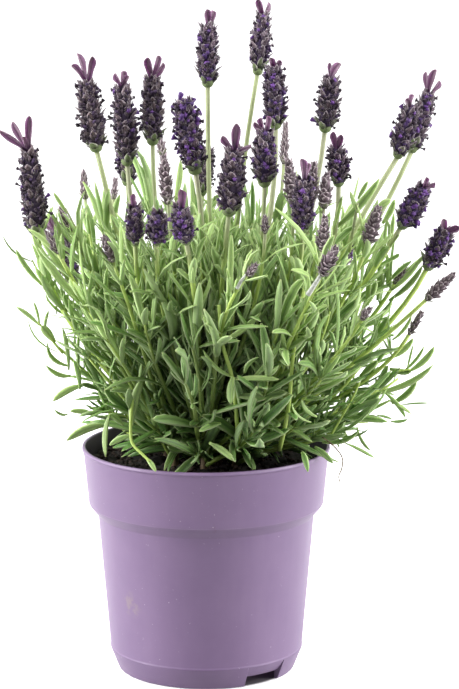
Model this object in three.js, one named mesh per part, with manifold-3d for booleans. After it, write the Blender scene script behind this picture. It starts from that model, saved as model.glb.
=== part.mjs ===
// A potted lavender with rabbit-ear bracts, in a lilac plastic nursery pot.
// Millimetres, +Z up. Pieces are made round the pot's axis, with the pot's foot at height 0 and
// the plant's front towards -Y. At the end the whole plant is moved so that the origin is the
// middle of its box, on the surface it stands on.

import * as THREE from 'three';
import { mergeVertices } from 'three/addons/utils/BufferGeometryUtils.js';
import Module from 'manifold-3d';

const wasm = await Module();
wasm.setup();

// Pot: a round wall with a band under the rim, a crease near the foot and a raised floor.
const wall = 1.5;
const potHeight = 120;
const rimRadius = 65;
const lip = { proud: 0.5, height: 1.6 };
const band = { radius: 62, height: 90.3 };
const shoulder = { radius: 57.1, height: 84.5 };
const crease = { radius: 51.2, height: 12 };
const footRadius = 46.2;
const footCorner = 0.6;
const floor = { under: 6.4, top: 8 };
const potSides = 36;
const notch = { turn: 42, width: 22, depth: 12, height: 5.5 };
const drain = { count: 6, ring: 26, radius: 3.5, sides: 6 };

// Soil: fills the pot to a little under the rim, with a plain hole for each woody base.
const touchGap = 0.4;
const soilTop = 111;
const soilRings = [46, 24];
const base = { bottom: 2.9, top: 2.3, sunk: 15, rise: 9, sides: 6 };
const baseHole = { radius: 3.5, depth: 16, cutLength: 40 };

// Sprays: each grows from its own woody base and holds the stems that are nearest to it.
const sprayRings = [
  { count: 4, reach: 36, firstTurn: 45 },
  { count: 7, reach: 86, firstTurn: 12 },
];
const rootShare = 0.24;

// Flowers, each with the middle of its head's base and tip, its width, and its bracts as
// [lean to the right, lean to the front, length, width]. Angles are in degrees from upright.
const flowers = [
  { base: [-87, -10, 233], tip: [-91, -14, 278], wide: 12.5,
    ears: [[-49, 10, 18, 5], [-30, -15, 17, 5], [-22, 35, 10, 4.5], [3, 10, 18, 5]] },
  { base: [-57, 10, 275], tip: [-62, 12, 310], wide: 13,
    ears: [[-42, 10, 12, 5], [-22, -15, 16, 5], [11, 15, 15, 5.5]] },
  { base: [-40, -20, 272], tip: [-42, -24, 312], wide: 12,
    ears: [[-24, 15, 8, 4.5], [32, 10, 6.5, 4.5], [5, -20, 8, 4.5]] },
  { base: [-42, 45, 252], tip: [-43, 50, 278], wide: 11.5, ears: [[5, -20, 7, 4.5], [-40, 0, 6, 4]] },
  { base: [-28, 22, 277], tip: [-28, 26, 311], wide: 12,
    ears: [[-13, 15, 11.5, 5.5], [39, 0, 9.5, 4.5], [16, -15, 12, 4.5]] },
  { base: [-5, -30, 269], tip: [-11, -36, 306], wide: 14, ears: [] },
  { base: [-2, 30, 249], tip: [1, 33, 272], wide: 8.5, ears: [] },
  { base: [1, 8, 309], tip: [1, 10, 340], wide: 11.5, ears: [[-2, 15, 8.5, 5], [25, -15, 8, 4.5]] },
  { base: [27, 30, 313], tip: [30, 36, 343], wide: 10.5, ears: [[-19, 10, 9, 4.5], [29, -10, 7, 4.5]] },
  { base: [36, -5, 289], tip: [35, -8, 320], wide: 12.5, ears: [[-23, 20, 6, 4.5], [43, 10, 5, 4]] },
  { base: [30, -40, 264], tip: [30, -46, 292], wide: 13,
    ears: [[-47, 5, 7, 4.5], [-12, 25, 8, 4.5], [15, 0, 7.5, 4.5]] },
  { base: [12, -58, 252], tip: [15, -66, 285], wide: 14,
    ears: [[3, 15, 14.5, 6], [-42, 5, 9.5, 5], [72, 0, 8.5, 4.5]] },
  { base: [62, 12, 285], tip: [65, 14, 312], wide: 12.5, ears: [[-14, -10, 7.5, 4.5], [34, 15, 9, 5.8]] },
  { base: [68, -25, 262], tip: [67, -30, 281], wide: 11.5, ears: [[-13, 0, 9, 4.8], [14, 20, 8, 4.5]] },
  { base: [99, -8, 274], tip: [105, -12, 300], wide: 11, ears: [[-20, 10, 5, 4], [15, 0, 6.5, 4]] },
  { base: [108, 22, 273], tip: [117, 28, 302], wide: 10.5,
    ears: [[-8, -15, 12, 3.6], [13, 15, 14, 5.5], [40, 0, 9, 4.5]] },
  { base: [100, -30, 241], tip: [111, -38, 262], wide: 12, ears: [[4, 10, 6, 4.5], [60, -10, 6, 4.5]] },
  { base: [117, -15, 216], tip: [122, -20, 236], wide: 12, ears: [[-12, 0, 6.5, 4.5], [74, 5, 7.5, 5]] },
  { base: [49, -62, 244], tip: [49, -72, 271], wide: 11.5, ears: [[-9, 10, 11, 5.5], [20, -25, 9, 4.5]] },
  { base: [-9, -80, 241], tip: [-12, -92, 260], wide: 10.5, ears: [[0, 15, 10, 6.5]] },
  { base: [-24, -68, 239], tip: [-23, -78, 254], wide: 10.5, ears: [] },
  { base: [-35, -60, 237], tip: [-35, -70, 257], wide: 8.5, ears: [[-2, 5, 7, 3.8]] },
  { base: [-72, 60, 196], tip: [-82, 70, 222], wide: 12,
    ears: [[-20, -10, 9, 5], [15, -20, 8, 5], [-50, -20, 8, 4.5]] },
  { base: [8, 84, 200], tip: [10, 96, 228], wide: 12, ears: [[10, -15, 9, 5.5], [-25, -10, 8, 4.5]] },
  { base: [70, 68, 200], tip: [80, 80, 227], wide: 11.5, ears: [[25, -15, 9, 5], [-5, -20, 8, 4.5]] },
];

// Unopened heads, each with the middle of its base and tip, and its width.
const buds = [
  { base: [44, -45, 255], tip: [42, -52, 278], wide: 7.4 },
  { base: [54, -40, 256], tip: [55, -46, 276], wide: 6.3 },
  { base: [60, -46, 253], tip: [61, -50, 270], wide: 7.9 },
  { base: [-19, -38, 254], tip: [-21, -44, 279], wide: 7.4 },
  { base: [-23, 40, 267], tip: [-25, 44, 279], wide: 5.3 },
  { base: [113, -35, 204], tip: [126, -42, 218], wide: 6.8 },
  { base: [-64, 30, 246], tip: [-65, 34, 260], wide: 5.3 },
  { base: [-70, 5, 233], tip: [-76, 6, 245], wide: 5.3 },
  { base: [-75, -35, 228], tip: [-80, -40, 239], wide: 4.4 },
  { base: [-46, -65, 229], tip: [-50, -72, 242], wide: 5.8 },
  { base: [-50, 55, 242], tip: [-49, 60, 253], wide: 4 },
  { base: [41, 35, 264], tip: [42, 40, 285], wide: 4.7 },
  { base: [30, -70, 244], tip: [30, -76, 253], wide: 4.2 },
  { base: [58, -80, 237], tip: [59, -92, 255], wide: 6.3 },
  { base: [58, -92, 227], tip: [64, -104, 242], wide: 7.9 },
  { base: [82, -48, 235], tip: [87, -58, 255], wide: 8.4 },
  { base: [21, -95, 227], tip: [25, -101, 233], wide: 4.2 },
  { base: [98, -10, 208], tip: [103, -14, 218], wide: 5.3 },
  { base: [78, -85, 203], tip: [81, -92, 210], wide: 4.2 },
  { base: [105, -25, 184], tip: [111, -32, 197], wide: 4.2 },
];

// Leafy shoots: an upright set spread by the golden angle, and a ring of low ones. They lie round
// middles a little to the right of the pot's axis.
const shootMiddle = 7;
const goldenAngle = 137.508;
const upright = { count: 12, reach: 80, top: 228, fall: 34, leanMiddle: 6, leanEdge: 32 };
const low = { count: 6, middle: 16, reachX: 62, reachY: 62, firstTurn: 38, top: 150, lean: 50 };
const shootJitter = 9;

// The shoots that make the plant's outline, each with its end and its lean to the right and to the
// front.
const edgeShoots = [
  { end: [-84, -10, 207], lean: [-38, 0] },
  { end: [-77, 0, 172], lean: [-46, 5] },
  { end: [-57, 5, 152], lean: [-72, 0] },
  { end: [-52, -12, 140], lean: [-80, 15] },
  { end: [-65, -8, 226], lean: [-26, 5] },
  { end: [-52, 16, 228], lean: [-4, -5] },
  { end: [-30, 26, 241], lean: [-6, -5] },
  { end: [-8, 22, 232], lean: [5, 0] },
  { end: [24, 20, 235], lean: [8, -5] },
  { end: [50, 20, 231], lean: [16, -5] },
  { end: [76, 8, 241], lean: [34, 0] },
  { end: [84, -12, 212], lean: [42, 0] },
  { end: [101, 2, 155], lean: [52, 0] },
  { end: [89, 14, 142], lean: [76, -5] },
  { end: [85, -8, 134], lean: [88, 5] },
  { end: [66, -28, 131], lean: [86, 25] },
];

// A stem's curve: how steeply it leaves the base at least, and how far its two ends keep their
// directions, all as shares of its reach.
const bend = { steep: 0.45, lower: 0.33, upper: 0.36 };

// Stems and leaves
const stalk = { radius: 1.1, sides: 4, steps: 4 };
const twig = { radius: 1.1, sides: 3, steps: 3 };
const leaf = { length: 29, lengthSpread: 8, width: 3.1, widthSpread: 0.9 };
const leafSpread = { least: 30, most: 56, atTip: 18 };
const leafDroop = { least: -0.2, most: 0.1 };
const leafClear = 2.2;

// Colours of the five materials
const colours = { pot: 0x9682a2, soil: 0x2f2621, spray: 0x7d8c58, head: 0x58444f, bracts: 0x97709a };

const degree = Math.PI / 180;
const up = new THREE.Vector3(0, 0, 1);

// Random draws from 0 to 1, the same for the same seed.
function drawer(seed) {
  const factor = 16807;
  const modulus = 2147483647;
  let state = seed;
  const draw = () => {
    state = (state * factor) % modulus;
    return state / modulus;
  };
  draw();
  draw();
  draw();
  return draw;
}

function materialOf(name) {
  return new THREE.MeshStandardMaterial({ color: colours[name], roughness: 0.8, metalness: 0, name });
}

// A closed geometry as a solid: only positions stay, shared vertices are merged, and the
// triangles that close up to a line at a pole are dropped.
function solidOf(geometry) {
  geometry.deleteAttribute('normal');
  geometry.deleteAttribute('uv');
  const merged = mergeVertices(geometry, 1e-4);
  const corners = merged.index.array;
  const kept = [];
  for (let i = 0; i < corners.length; i += 3) {
    const [a, b, c] = [corners[i], corners[i + 1], corners[i + 2]];
    if (a !== b && b !== c && c !== a) kept.push(a, b, c);
  }
  const vertProperties = new Float32Array(merged.attributes.position.array);
  const triVerts = new Uint32Array(kept);
  return new wasm.Manifold(new wasm.Mesh({ numProp: 3, vertProperties, triVerts }));
}

// All solids joined in one body. Only its outer skin is kept, so a hollow that the joining
// seals is filled.
function joined(solids) {
  const whole = solids.reduce((sum, solid) => sum.add(solid));
  return whole.decompose().reduce((best, one) => (one.volume() > best.volume() ? one : best));
}

function meshOf(name, solid, material) {
  const { vertProperties, triVerts } = solid.getMesh();
  const geometry = new THREE.BufferGeometry();
  geometry.setAttribute('position', new THREE.BufferAttribute(vertProperties, 3));
  geometry.setIndex(new THREE.BufferAttribute(triVerts, 1));
  geometry.computeVertexNormals();
  const mesh = new THREE.Mesh(geometry, material);
  mesh.name = name;
  return mesh;
}

// A cylinder or a sphere of radius 1 and height 2 carried to its place: place(across, through, t)
// gives the real point of each vertex, with across and through from -1 to 1 on its skin and t
// from its root to its tip. A sphere with few sides gives a blade that is pointed at both ends.
function carried(geometry, place) {
  const position = geometry.attributes.position;
  const pointed = geometry.type === 'SphereGeometry';
  for (let i = 0; i < position.count; i += 1) {
    const [x, y, z] = [position.getX(i), position.getY(i), position.getZ(i)];
    const shrink = pointed ? Math.max(Math.sqrt(Math.max(1 - y * y, 0)), 1e-6) : 1;
    const point = place(x / shrink, z / shrink, (y + 1) / 2);
    position.setXYZ(i, point.x, point.y, point.z);
  }
  return solidOf(geometry);
}

// Two directions at right angles to the given one: one across it and level, one through both.
function directionsOf(along, level) {
  const across = level.clone().addScaledVector(along, -level.dot(along)).normalize();
  const through = new THREE.Vector3().crossVectors(across, along);
  return { across, through };
}

// A direction that is level and at right angles to the plan of the given one.
function levelBeside(direction) {
  const flat = new THREE.Vector3(-direction.y, direction.x, 0);
  return flat.length() > 1e-3 ? flat.normalize() : new THREE.Vector3(1, 0, 0);
}

// The value at t of a profile given as [t, value] rows.
function profileAt(rows, t) {
  const next = Math.max(1, rows.findIndex((row) => row[0] >= t));
  const [before, after] = [rows[next - 1], rows[next]];
  return THREE.MathUtils.mapLinear(t, before[0], after[0], before[1], after[1]);
}

// Pot

function potSolid() {
  const innerShoulder = shoulder.radius - wall;
  const innerBand = band.radius - wall;
  const innerRim = rimRadius - wall;
  const skirt = footRadius - wall;
  const profile = [
    [0, floor.under],
    [skirt + 0.3, floor.under],
    [skirt, 0],
    [footRadius, 0],
    [footRadius + footCorner, footCorner],
    [crease.radius, crease.height - 0.4],
    [crease.radius - 0.3, crease.height + 0.2],
    [shoulder.radius, shoulder.height],
    [band.radius - 0.5, band.height - 0.4],
    [band.radius, band.height + 0.6],
    [rimRadius - 0.3, potHeight - lip.height - 0.6],
    [rimRadius + lip.proud, potHeight - lip.height],
    [rimRadius + lip.proud - 0.3, potHeight],
    [innerRim + 0.3, potHeight],
    [innerRim, potHeight - 0.7],
    [innerBand, band.height + 0.6],
    [innerShoulder, shoulder.height],
    [crease.radius - wall, crease.height],
    [crease.radius - wall - 0.7, floor.top],
    [0, floor.top],
  ];
  const points = profile.map(([radius, height]) => new THREE.Vector2(radius, height));
  let pot = solidOf(new THREE.LatheGeometry(points, potSides).rotateX(90 * degree));
  for (const turn of [notch.turn, notch.turn + 180]) {
    const cut = new THREE.BoxGeometry(notch.width, notch.depth, 2 * notch.height);
    cut.translate(0, -footRadius, 0);
    cut.rotateZ(turn * degree);
    pot = pot.subtract(solidOf(cut));
  }
  for (let i = 0; i < drain.count; i += 1) {
    const hole = new THREE.CylinderGeometry(drain.radius, drain.radius, floor.top * 2, drain.sides);
    hole.rotateX(90 * degree);
    hole.translate(drain.ring, 0, floor.top / 2);
    hole.rotateZ((360 / drain.count) * i * degree);
    pot = pot.subtract(solidOf(hole));
  }
  return pot;
}

// Soil

// Height of the soil's crumbly top over its plain level.
function soilBump(x, y) {
  const broad = 1.2 * Math.sin(x * 0.19 + 0.6) * Math.cos(y * 0.16 - 0.4);
  const fine = 0.7 * Math.sin(x * 0.41 - y * 0.33) + 0.5 * Math.cos(x * 0.29 + y * 0.47);
  return broad + fine;
}

function soilSolid(roots) {
  const side = [
    [crease.radius - wall - 0.7, floor.top],
    [shoulder.radius - wall, shoulder.height],
    [band.radius - wall, band.height + 0.6],
    [THREE.MathUtils.mapLinear(soilTop, band.height, potHeight, band.radius, rimRadius) - wall, soilTop],
  ];
  const wallPoints = side.map(([radius, height]) => new THREE.Vector2(radius - touchGap, height));
  wallPoints[0].y += touchGap;
  const topPoints = soilRings.map((radius) => new THREE.Vector2(radius, soilTop));
  const start = new THREE.Vector2(0, floor.top + touchGap);
  const points = [start, ...wallPoints, ...topPoints, new THREE.Vector2(0, soilTop)];
  const geometry = new THREE.LatheGeometry(points, potSides).rotateX(90 * degree);
  const position = geometry.attributes.position;
  for (let i = 0; i < position.count; i += 1) {
    const [x, y, z] = [position.getX(i), position.getY(i), position.getZ(i)];
    if (z > soilTop - 1) position.setZ(i, z + soilBump(x, y));
  }
  let soil = solidOf(geometry);
  for (const root of roots) {
    const { radius, depth, cutLength } = baseHole;
    const hole = new THREE.CylinderGeometry(radius, radius, cutLength, base.sides);
    hole.rotateX(90 * degree);
    hole.translate(root.x, root.y, soilTop - depth + cutLength / 2);
    soil = soil.subtract(solidOf(hole));
  }
  return soil;
}

// Plan of the plant

const sprays = sprayRings.flatMap((ring) => Array.from({ length: ring.count }, (_, i) => {
  const turn = (ring.firstTurn + (360 / ring.count) * i) * degree;
  const middle = new THREE.Vector3(ring.reach * Math.cos(turn), ring.reach * Math.sin(turn), 0);
  return { middle, root: middle.clone().multiplyScalar(rootShare).setZ(soilTop), stems: [] };
}));

function nearestSpray(point) {
  const distance = (spray) => Math.hypot(spray.middle.x - point.x, spray.middle.y - point.y);
  return sprays.reduce((best, spray) => (distance(spray) < distance(best) ? spray : best));
}

function addStem(end, direction, leaves) {
  nearestSpray(end).stems.push({ end, direction, ...leaves });
}

// A stem's curve leaves the woody base fairly upright and comes to its end along a direction.
// The stems of a spray leave one above the other, the ones that end lowest first.
function stemCurve(spray, { end, direction }, share) {
  const start = spray.root.clone().setZ(soilTop + THREE.MathUtils.lerp(2, base.rise - 1, share));
  const reach = start.distanceTo(end);
  const chord = end.clone().sub(start);
  const leave = new THREE.Vector3(chord.x, chord.y, Math.max(chord.z, bend.steep * reach)).normalize();
  const lower = start.clone().addScaledVector(leave, bend.lower * reach);
  const upper = end.clone().addScaledVector(direction, -bend.upper * reach);
  return new THREE.CubicBezierCurve3(start, lower, upper, end);
}

let stemNumber = 0;
function nextSeed() {
  stemNumber += 1;
  return 100 + 37 * stemNumber;
}

for (const one of [...flowers, ...buds]) {
  one.foot = new THREE.Vector3(...one.base);
  one.top = new THREE.Vector3(...one.tip);
  one.axis = one.top.clone().sub(one.foot).normalize();
}

function outwardOf(turn) {
  return new THREE.Vector3(Math.cos(turn * degree), Math.sin(turn * degree), 0);
}

function leaning(outward, lean) {
  return outward.clone().multiplyScalar(Math.sin(lean * degree)).setZ(Math.cos(lean * degree));
}

// The direction that leans to the right and to the front by the given angles.
function directionOf([right, front]) {
  const [a, b] = [right * degree, front * degree];
  return new THREE.Vector3(Math.sin(a) * Math.cos(b), -Math.sin(b), Math.cos(a) * Math.cos(b));
}

for (const flower of flowers) {
  const end = flower.foot.clone().addScaledVector(flower.axis, -touchGap);
  addStem(end, flower.axis, { form: stalk, seed: nextSeed(), pairs: 1, from: 0.52, to: 0.52 });
}
for (const bud of buds) {
  addStem(bud.foot, bud.axis, { form: twig, seed: nextSeed(), pairs: 1, from: 0.6, to: 0.6, bud });
}
for (let i = 0; i < upright.count; i += 1) {
  const share = Math.sqrt((i + 0.5) / upright.count);
  const outward = outwardOf(goldenAngle * (i + 1));
  const lift = shootJitter * (2 * drawer(11 + 17 * i)() - 1);
  const direction = leaning(outward, THREE.MathUtils.lerp(upright.leanMiddle, upright.leanEdge, share));
  const height = upright.top - upright.fall * share * share + lift;
  const end = outward.multiplyScalar(upright.reach * share).setZ(height);
  end.x += shootMiddle;
  addStem(end, direction, { form: twig, seed: nextSeed(), pairs: 4, from: 0.45, to: 0.96, tuft: true });
}
for (let i = 0; i < low.count; i += 1) {
  const outward = outwardOf(low.firstTurn + (360 / low.count) * i);
  const direction = leaning(outward, low.lean);
  const lift = shootJitter * (2 * drawer(7 + 13 * i)() - 1);
  const [x, y] = [low.middle + low.reachX * outward.x, low.reachY * outward.y];
  const end = new THREE.Vector3(x, y, low.top + lift);
  addStem(end, direction, { form: twig, seed: nextSeed(), pairs: 3, from: 0.55, to: 0.95, tuft: true });
}
for (const shoot of edgeShoots) {
  const end = new THREE.Vector3(...shoot.end);
  const direction = directionOf(shoot.lean);
  addStem(end, direction, { form: twig, seed: nextSeed(), pairs: 3, from: 0.6, to: 0.96, tuft: true });
}

for (const spray of sprays) {
  spray.stems.sort((a, b) => a.end.z - b.end.z);
  spray.stems.forEach((stem, i) => {
    stem.curve = stemCurve(spray, stem, i / (spray.stems.length - 1));
    stem.points = stem.curve.getSpacedPoints(stem.form.steps);
  });
}

// The place and direction at a share of a stem's length, on the straight steps that it is made of.
function onStem(stem, share) {
  const steps = stem.form.steps;
  const step = Math.min(Math.floor(share * steps), steps - 1);
  const [from, to] = [stem.points[step], stem.points[step + 1]];
  return { place: from.clone().lerp(to, share * steps - step), ahead: to.clone().sub(from).normalize() };
}

// Leaves

// Leaves stand in crossed pairs: each pair is a quarter turn on from the one below. A leaf is
// its root, its first direction, how far it bends down or up, its length and its width.
function leavesOf(stem) {
  const draw = drawer(stem.seed);
  const phase = draw() * Math.PI;
  const leaves = [];
  const level = levelBeside(stem.curve.v3.clone().sub(stem.curve.v0));
  for (let pair = 0; pair < stem.pairs; pair += 1) {
    const along = stem.pairs > 1 ? pair / (stem.pairs - 1) : 0;
    const { place, ahead } = onStem(stem, THREE.MathUtils.lerp(stem.from, stem.to, along));
    const { across, through } = directionsOf(ahead, level);
    for (const side of [0, 1]) {
      const turn = phase + (pair * Math.PI) / 2 + side * Math.PI + (draw() - 0.5) * 0.6;
      const last = stem.tuft && pair === stem.pairs - 1;
      const wide = THREE.MathUtils.lerp(leafSpread.least, leafSpread.most, draw());
      const spread = last ? leafSpread.atTip : wide;
      const outward = across.clone().multiplyScalar(Math.cos(turn));
      outward.addScaledVector(through, Math.sin(turn));
      const direction = ahead.clone().multiplyScalar(Math.cos(spread * degree));
      direction.addScaledVector(outward, Math.sin(spread * degree));
      leaves.push({
        root: place,
        direction,
        beside: new THREE.Vector3().crossVectors(ahead, outward).normalize(),
        droop: THREE.MathUtils.lerp(leafDroop.least, leafDroop.most, draw()),
        length: leaf.length + leaf.lengthSpread * draw(),
        width: leaf.width + leaf.widthSpread * draw(),
      });
    }
  }
  return leaves;
}

function leafPoint({ root, direction, droop, length }, t) {
  return root.clone().addScaledVector(direction, length * t).addScaledVector(up, -droop * length * t * t);
}

const leafWidths = [[0, 0], [0.25, 0.95], [0.75, 0.8], [1, 0]];
const leafKeel = 0.75;
const straightDroop = 0.08;

// A leaf is a narrow pointed blade, flat above and with a keel below. One that hardly bends
// needs a single widest place, and the others have two.
function leafSolid(one) {
  const spans = Math.abs(one.droop) < straightDroop ? 2 : 3;
  return carried(new THREE.SphereGeometry(1, 3, spans), (keel, side, t) => {
    const ahead = one.direction.clone().addScaledVector(up, -2 * one.droop * t).normalize();
    const below = new THREE.Vector3().crossVectors(one.beside, ahead);
    const half = (one.width / 2) * profileAt(leafWidths, t);
    const edge = Math.cos(30 * degree);
    return leafPoint(one, t)
      .addScaledVector(one.beside, (side / edge) * half)
      .addScaledVector(below, -keel * leafKeel * Math.min(1, 4 * t, 4 * (1 - t)));
  });
}

// Room that is taken: balls along stems, leaves and heads keep a leaf away, at half the distance
// where they belong to the same spray.
const taken = [];

function take(owner, points, radius) {
  for (const point of points) taken.push({ owner, point, radius });
}

function isClear(owner, points, radius) {
  return points.every((point) => taken.every((ball) => {
    const share = ball.owner === owner ? 0.5 : 1;
    return ball.point.distanceTo(point) > share * (ball.radius + radius);
  }));
}

function isClearOfPot(point) {
  const radius = Math.hypot(point.x, point.y);
  if (radius > rimRadius + 4) return true;
  return point.z > (radius > band.radius - 5 ? potHeight + 3 : soilTop + 5);
}

function takeLine(owner, from, to, radius) {
  const steps = Math.ceil(from.distanceTo(to) / 2);
  const points = Array.from({ length: steps + 1 }, (_, i) => from.clone().lerp(to, i / steps));
  take(owner, points, radius);
}

for (const flower of flowers) {
  takeLine(flower, flower.foot, flower.top, flower.wide / 2 + 0.8);
  const crown = flower.top.clone().addScaledVector(flower.axis, 1.5);
  for (const ear of flower.ears) {
    takeLine(flower, crown, crown.clone().addScaledVector(directionOf(ear), ear[2]), ear[3] / 2);
  }
}
for (const spray of sprays) {
  for (const stem of spray.stems) {
    const shares = Array.from({ length: 61 }, (_, i) => i / 60);
    take(spray, shares.map((share) => onStem(stem, share).place), stem.form.radius);
    if (stem.bud) takeLine(spray, stem.bud.foot, stem.bud.top, stem.bud.wide / 2 + 0.5);
  }
}

// Heads

const scale = { columns: 8, step: 7, hang: 0.25, valley: 0.66 };
const budScale = { columns: 4, step: 6, hang: 0.3, valley: 0.75 };
const headWidths = [[0, 0.62], [0.3, 1], [0.7, 0.92], [1, 0.6]];
const budWidths = [[0, 0.6], [0.3, 1], [0.7, 0.78], [1, 0.3]];

// A scaly spike: rings of scales stand one above the other round the axis. A scale rises from
// the narrow foot of its ring to a tip that hangs over the ring above, with a valley beside it,
// and each ring is turned by one column from the one below.
function spikeSolid(one, kind, widths) {
  const { across, through } = directionsOf(one.axis, new THREE.Vector3(1, 0, 0));
  const length = one.foot.distanceTo(one.top);
  const tiers = Math.max(1, Math.round(length / kind.step));
  const step = length / (tiers + kind.hang);
  const rings = 2 * tiers;
  return carried(new THREE.CylinderGeometry(1, 1, 2, kind.columns, rings), (side, depth, t) => {
    const ring = Math.round(t * rings);
    const tier = Math.floor(ring / 2);
    const column = Math.round((Math.atan2(side, depth) * kind.columns) / (2 * Math.PI));
    const isTip = ring % 2 === 1 && (column + tier) % 2 === 0;
    let height = tier * step;
    if (ring % 2 === 1) height += isTip ? step * (1 + kind.hang) : step * 0.85;
    if (ring === rings) height = length;
    const reach = (one.wide / 2) * profileAt(widths, Math.min(height / length, 1));
    const radius = isTip ? reach : reach * kind.valley;
    return one.foot.clone().addScaledVector(one.axis, height)
      .addScaledVector(across, side * radius)
      .addScaledVector(through, depth * radius);
  });
}

// Bracts: thin petals that stand from a small cap on top of the head.
const cap = { height: 3, bottom: 2.2, top: 1.5, sides: 4 };
const earWidths = [[0, 0], [0.25, 0.55], [0.75, 1], [1, 0]];
const earThick = 0.45;

function earSolid(root, ear) {
  const direction = directionOf(ear);
  const [, , length, width] = ear;
  const beside = new THREE.Vector3().crossVectors(direction, new THREE.Vector3(0, 1, 0)).normalize();
  const through = new THREE.Vector3().crossVectors(beside, direction);
  const bottom = root.clone().addScaledVector(direction, 0.6);
  return carried(new THREE.SphereGeometry(1, 4, 3), (side, depth, t) => {
    const half = (width / 2) * profileAt(earWidths, t);
    return bottom.clone().addScaledVector(direction, length * t)
      .addScaledVector(beside, side * half)
      .addScaledVector(through, depth * earThick * Math.min(1, 4 * t, 4 * (1 - t)));
  });
}

function bractsSolid(flower) {
  const { across, through } = directionsOf(flower.axis, new THREE.Vector3(1, 0, 0));
  const foot = flower.top.clone().addScaledVector(flower.axis, touchGap);
  const capSolid = carried(new THREE.CylinderGeometry(1, 1, 2, cap.sides, 1), (side, depth, t) => {
    const radius = THREE.MathUtils.lerp(cap.bottom, cap.top, t);
    return foot.clone().addScaledVector(flower.axis, cap.height * t)
      .addScaledVector(across, side * radius)
      .addScaledVector(through, depth * radius);
  });
  const root = foot.clone().addScaledVector(flower.axis, cap.height / 2);
  return joined([capSolid, ...flower.ears.map((ear) => earSolid(root, ear))]);
}

// Sprays

function stemSolid({ form, curve }) {
  const section = new THREE.Shape(Array.from({ length: form.sides }, (_, i) => {
    const turn = (2 * Math.PI * i) / form.sides;
    return new THREE.Vector2(form.radius * Math.cos(turn), form.radius * Math.sin(turn));
  }));
  const settings = { steps: form.steps, bevelEnabled: false, extrudePath: curve };
  return solidOf(new THREE.ExtrudeGeometry(section, settings));
}

function baseSolid(root) {
  const height = base.sunk + base.rise;
  const trunk = new THREE.CylinderGeometry(base.top, base.bottom, height, base.sides);
  trunk.rotateX(90 * degree);
  trunk.translate(root.x, root.y, soilTop - base.sunk + height / 2);
  return solidOf(trunk);
}

function spraySolid(spray) {
  const solids = [baseSolid(spray.root)];
  for (const stem of spray.stems) {
    solids.push(stemSolid(stem));
    if (stem.bud) solids.push(spikeSolid(stem.bud, budScale, budWidths));
    for (const one of leavesOf(stem)) {
      const points = Array.from({ length: 12 }, (_, i) => leafPoint(one, (i + 4) / 15));
      if (isClear(spray, points, leafClear) && points.every(isClearOfPot)) {
        take(spray, points, leafClear);
        solids.push(leafSolid(one));
      }
    }
  }
  return joined(solids);
}

// The whole plant

const plant = new THREE.Group();
const numbered = (name, i) => `${name}_${String(i + 1).padStart(2, '0')}`;
const materials = Object.fromEntries(Object.keys(colours).map((name) => [name, materialOf(name)]));

plant.add(meshOf('pot', potSolid(), materials.pot));
plant.add(meshOf('soil', soilSolid(sprays.map((spray) => spray.root)), materials.soil));
sprays.forEach((spray, i) => {
  plant.add(meshOf(numbered('spray', i), spraySolid(spray), materials.spray));
});
flowers.forEach((flower, i) => {
  plant.add(meshOf(numbered('head', i), spikeSolid(flower, scale, headWidths), materials.head));
  if (flower.ears.length) {
    plant.add(meshOf(numbered('bracts', i), bractsSolid(flower), materials.bracts));
  }
});

const box = new THREE.Box3().setFromObject(plant);
const middle = box.getCenter(new THREE.Vector3());
plant.position.set(-middle.x, -middle.y, -box.min.z);

export default plant;
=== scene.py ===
"""Looks of a potted lavender: the pot, the peat, the leafy sprays, the flower heads and their bracts.

Lengths are in millimetres round the pot's axis, with the pot's foot at height 0 and the plant's
front towards -Y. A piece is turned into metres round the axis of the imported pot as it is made.
Turns, leans, spreads and rolls among the values below are in degrees.
"""

import math

import bpy
import numpy as np
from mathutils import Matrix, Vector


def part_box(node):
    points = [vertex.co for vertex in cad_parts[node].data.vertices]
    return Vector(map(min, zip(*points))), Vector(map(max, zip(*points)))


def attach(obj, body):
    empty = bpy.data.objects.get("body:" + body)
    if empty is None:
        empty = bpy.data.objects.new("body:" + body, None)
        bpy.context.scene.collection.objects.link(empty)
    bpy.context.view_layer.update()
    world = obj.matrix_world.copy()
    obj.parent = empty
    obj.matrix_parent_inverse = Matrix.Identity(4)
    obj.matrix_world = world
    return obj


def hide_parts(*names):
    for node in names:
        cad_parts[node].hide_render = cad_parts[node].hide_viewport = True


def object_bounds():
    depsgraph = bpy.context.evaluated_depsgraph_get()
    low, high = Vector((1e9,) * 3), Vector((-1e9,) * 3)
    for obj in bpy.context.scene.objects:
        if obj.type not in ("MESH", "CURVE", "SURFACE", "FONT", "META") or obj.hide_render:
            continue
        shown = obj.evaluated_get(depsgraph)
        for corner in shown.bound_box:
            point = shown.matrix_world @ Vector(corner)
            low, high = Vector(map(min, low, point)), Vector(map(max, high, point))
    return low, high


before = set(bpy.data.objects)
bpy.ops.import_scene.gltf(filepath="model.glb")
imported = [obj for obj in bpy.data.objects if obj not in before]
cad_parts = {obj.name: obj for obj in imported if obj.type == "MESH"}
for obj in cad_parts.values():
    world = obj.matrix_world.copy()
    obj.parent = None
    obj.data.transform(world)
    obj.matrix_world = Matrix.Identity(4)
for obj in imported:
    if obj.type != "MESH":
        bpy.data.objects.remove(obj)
packed_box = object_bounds()

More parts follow.
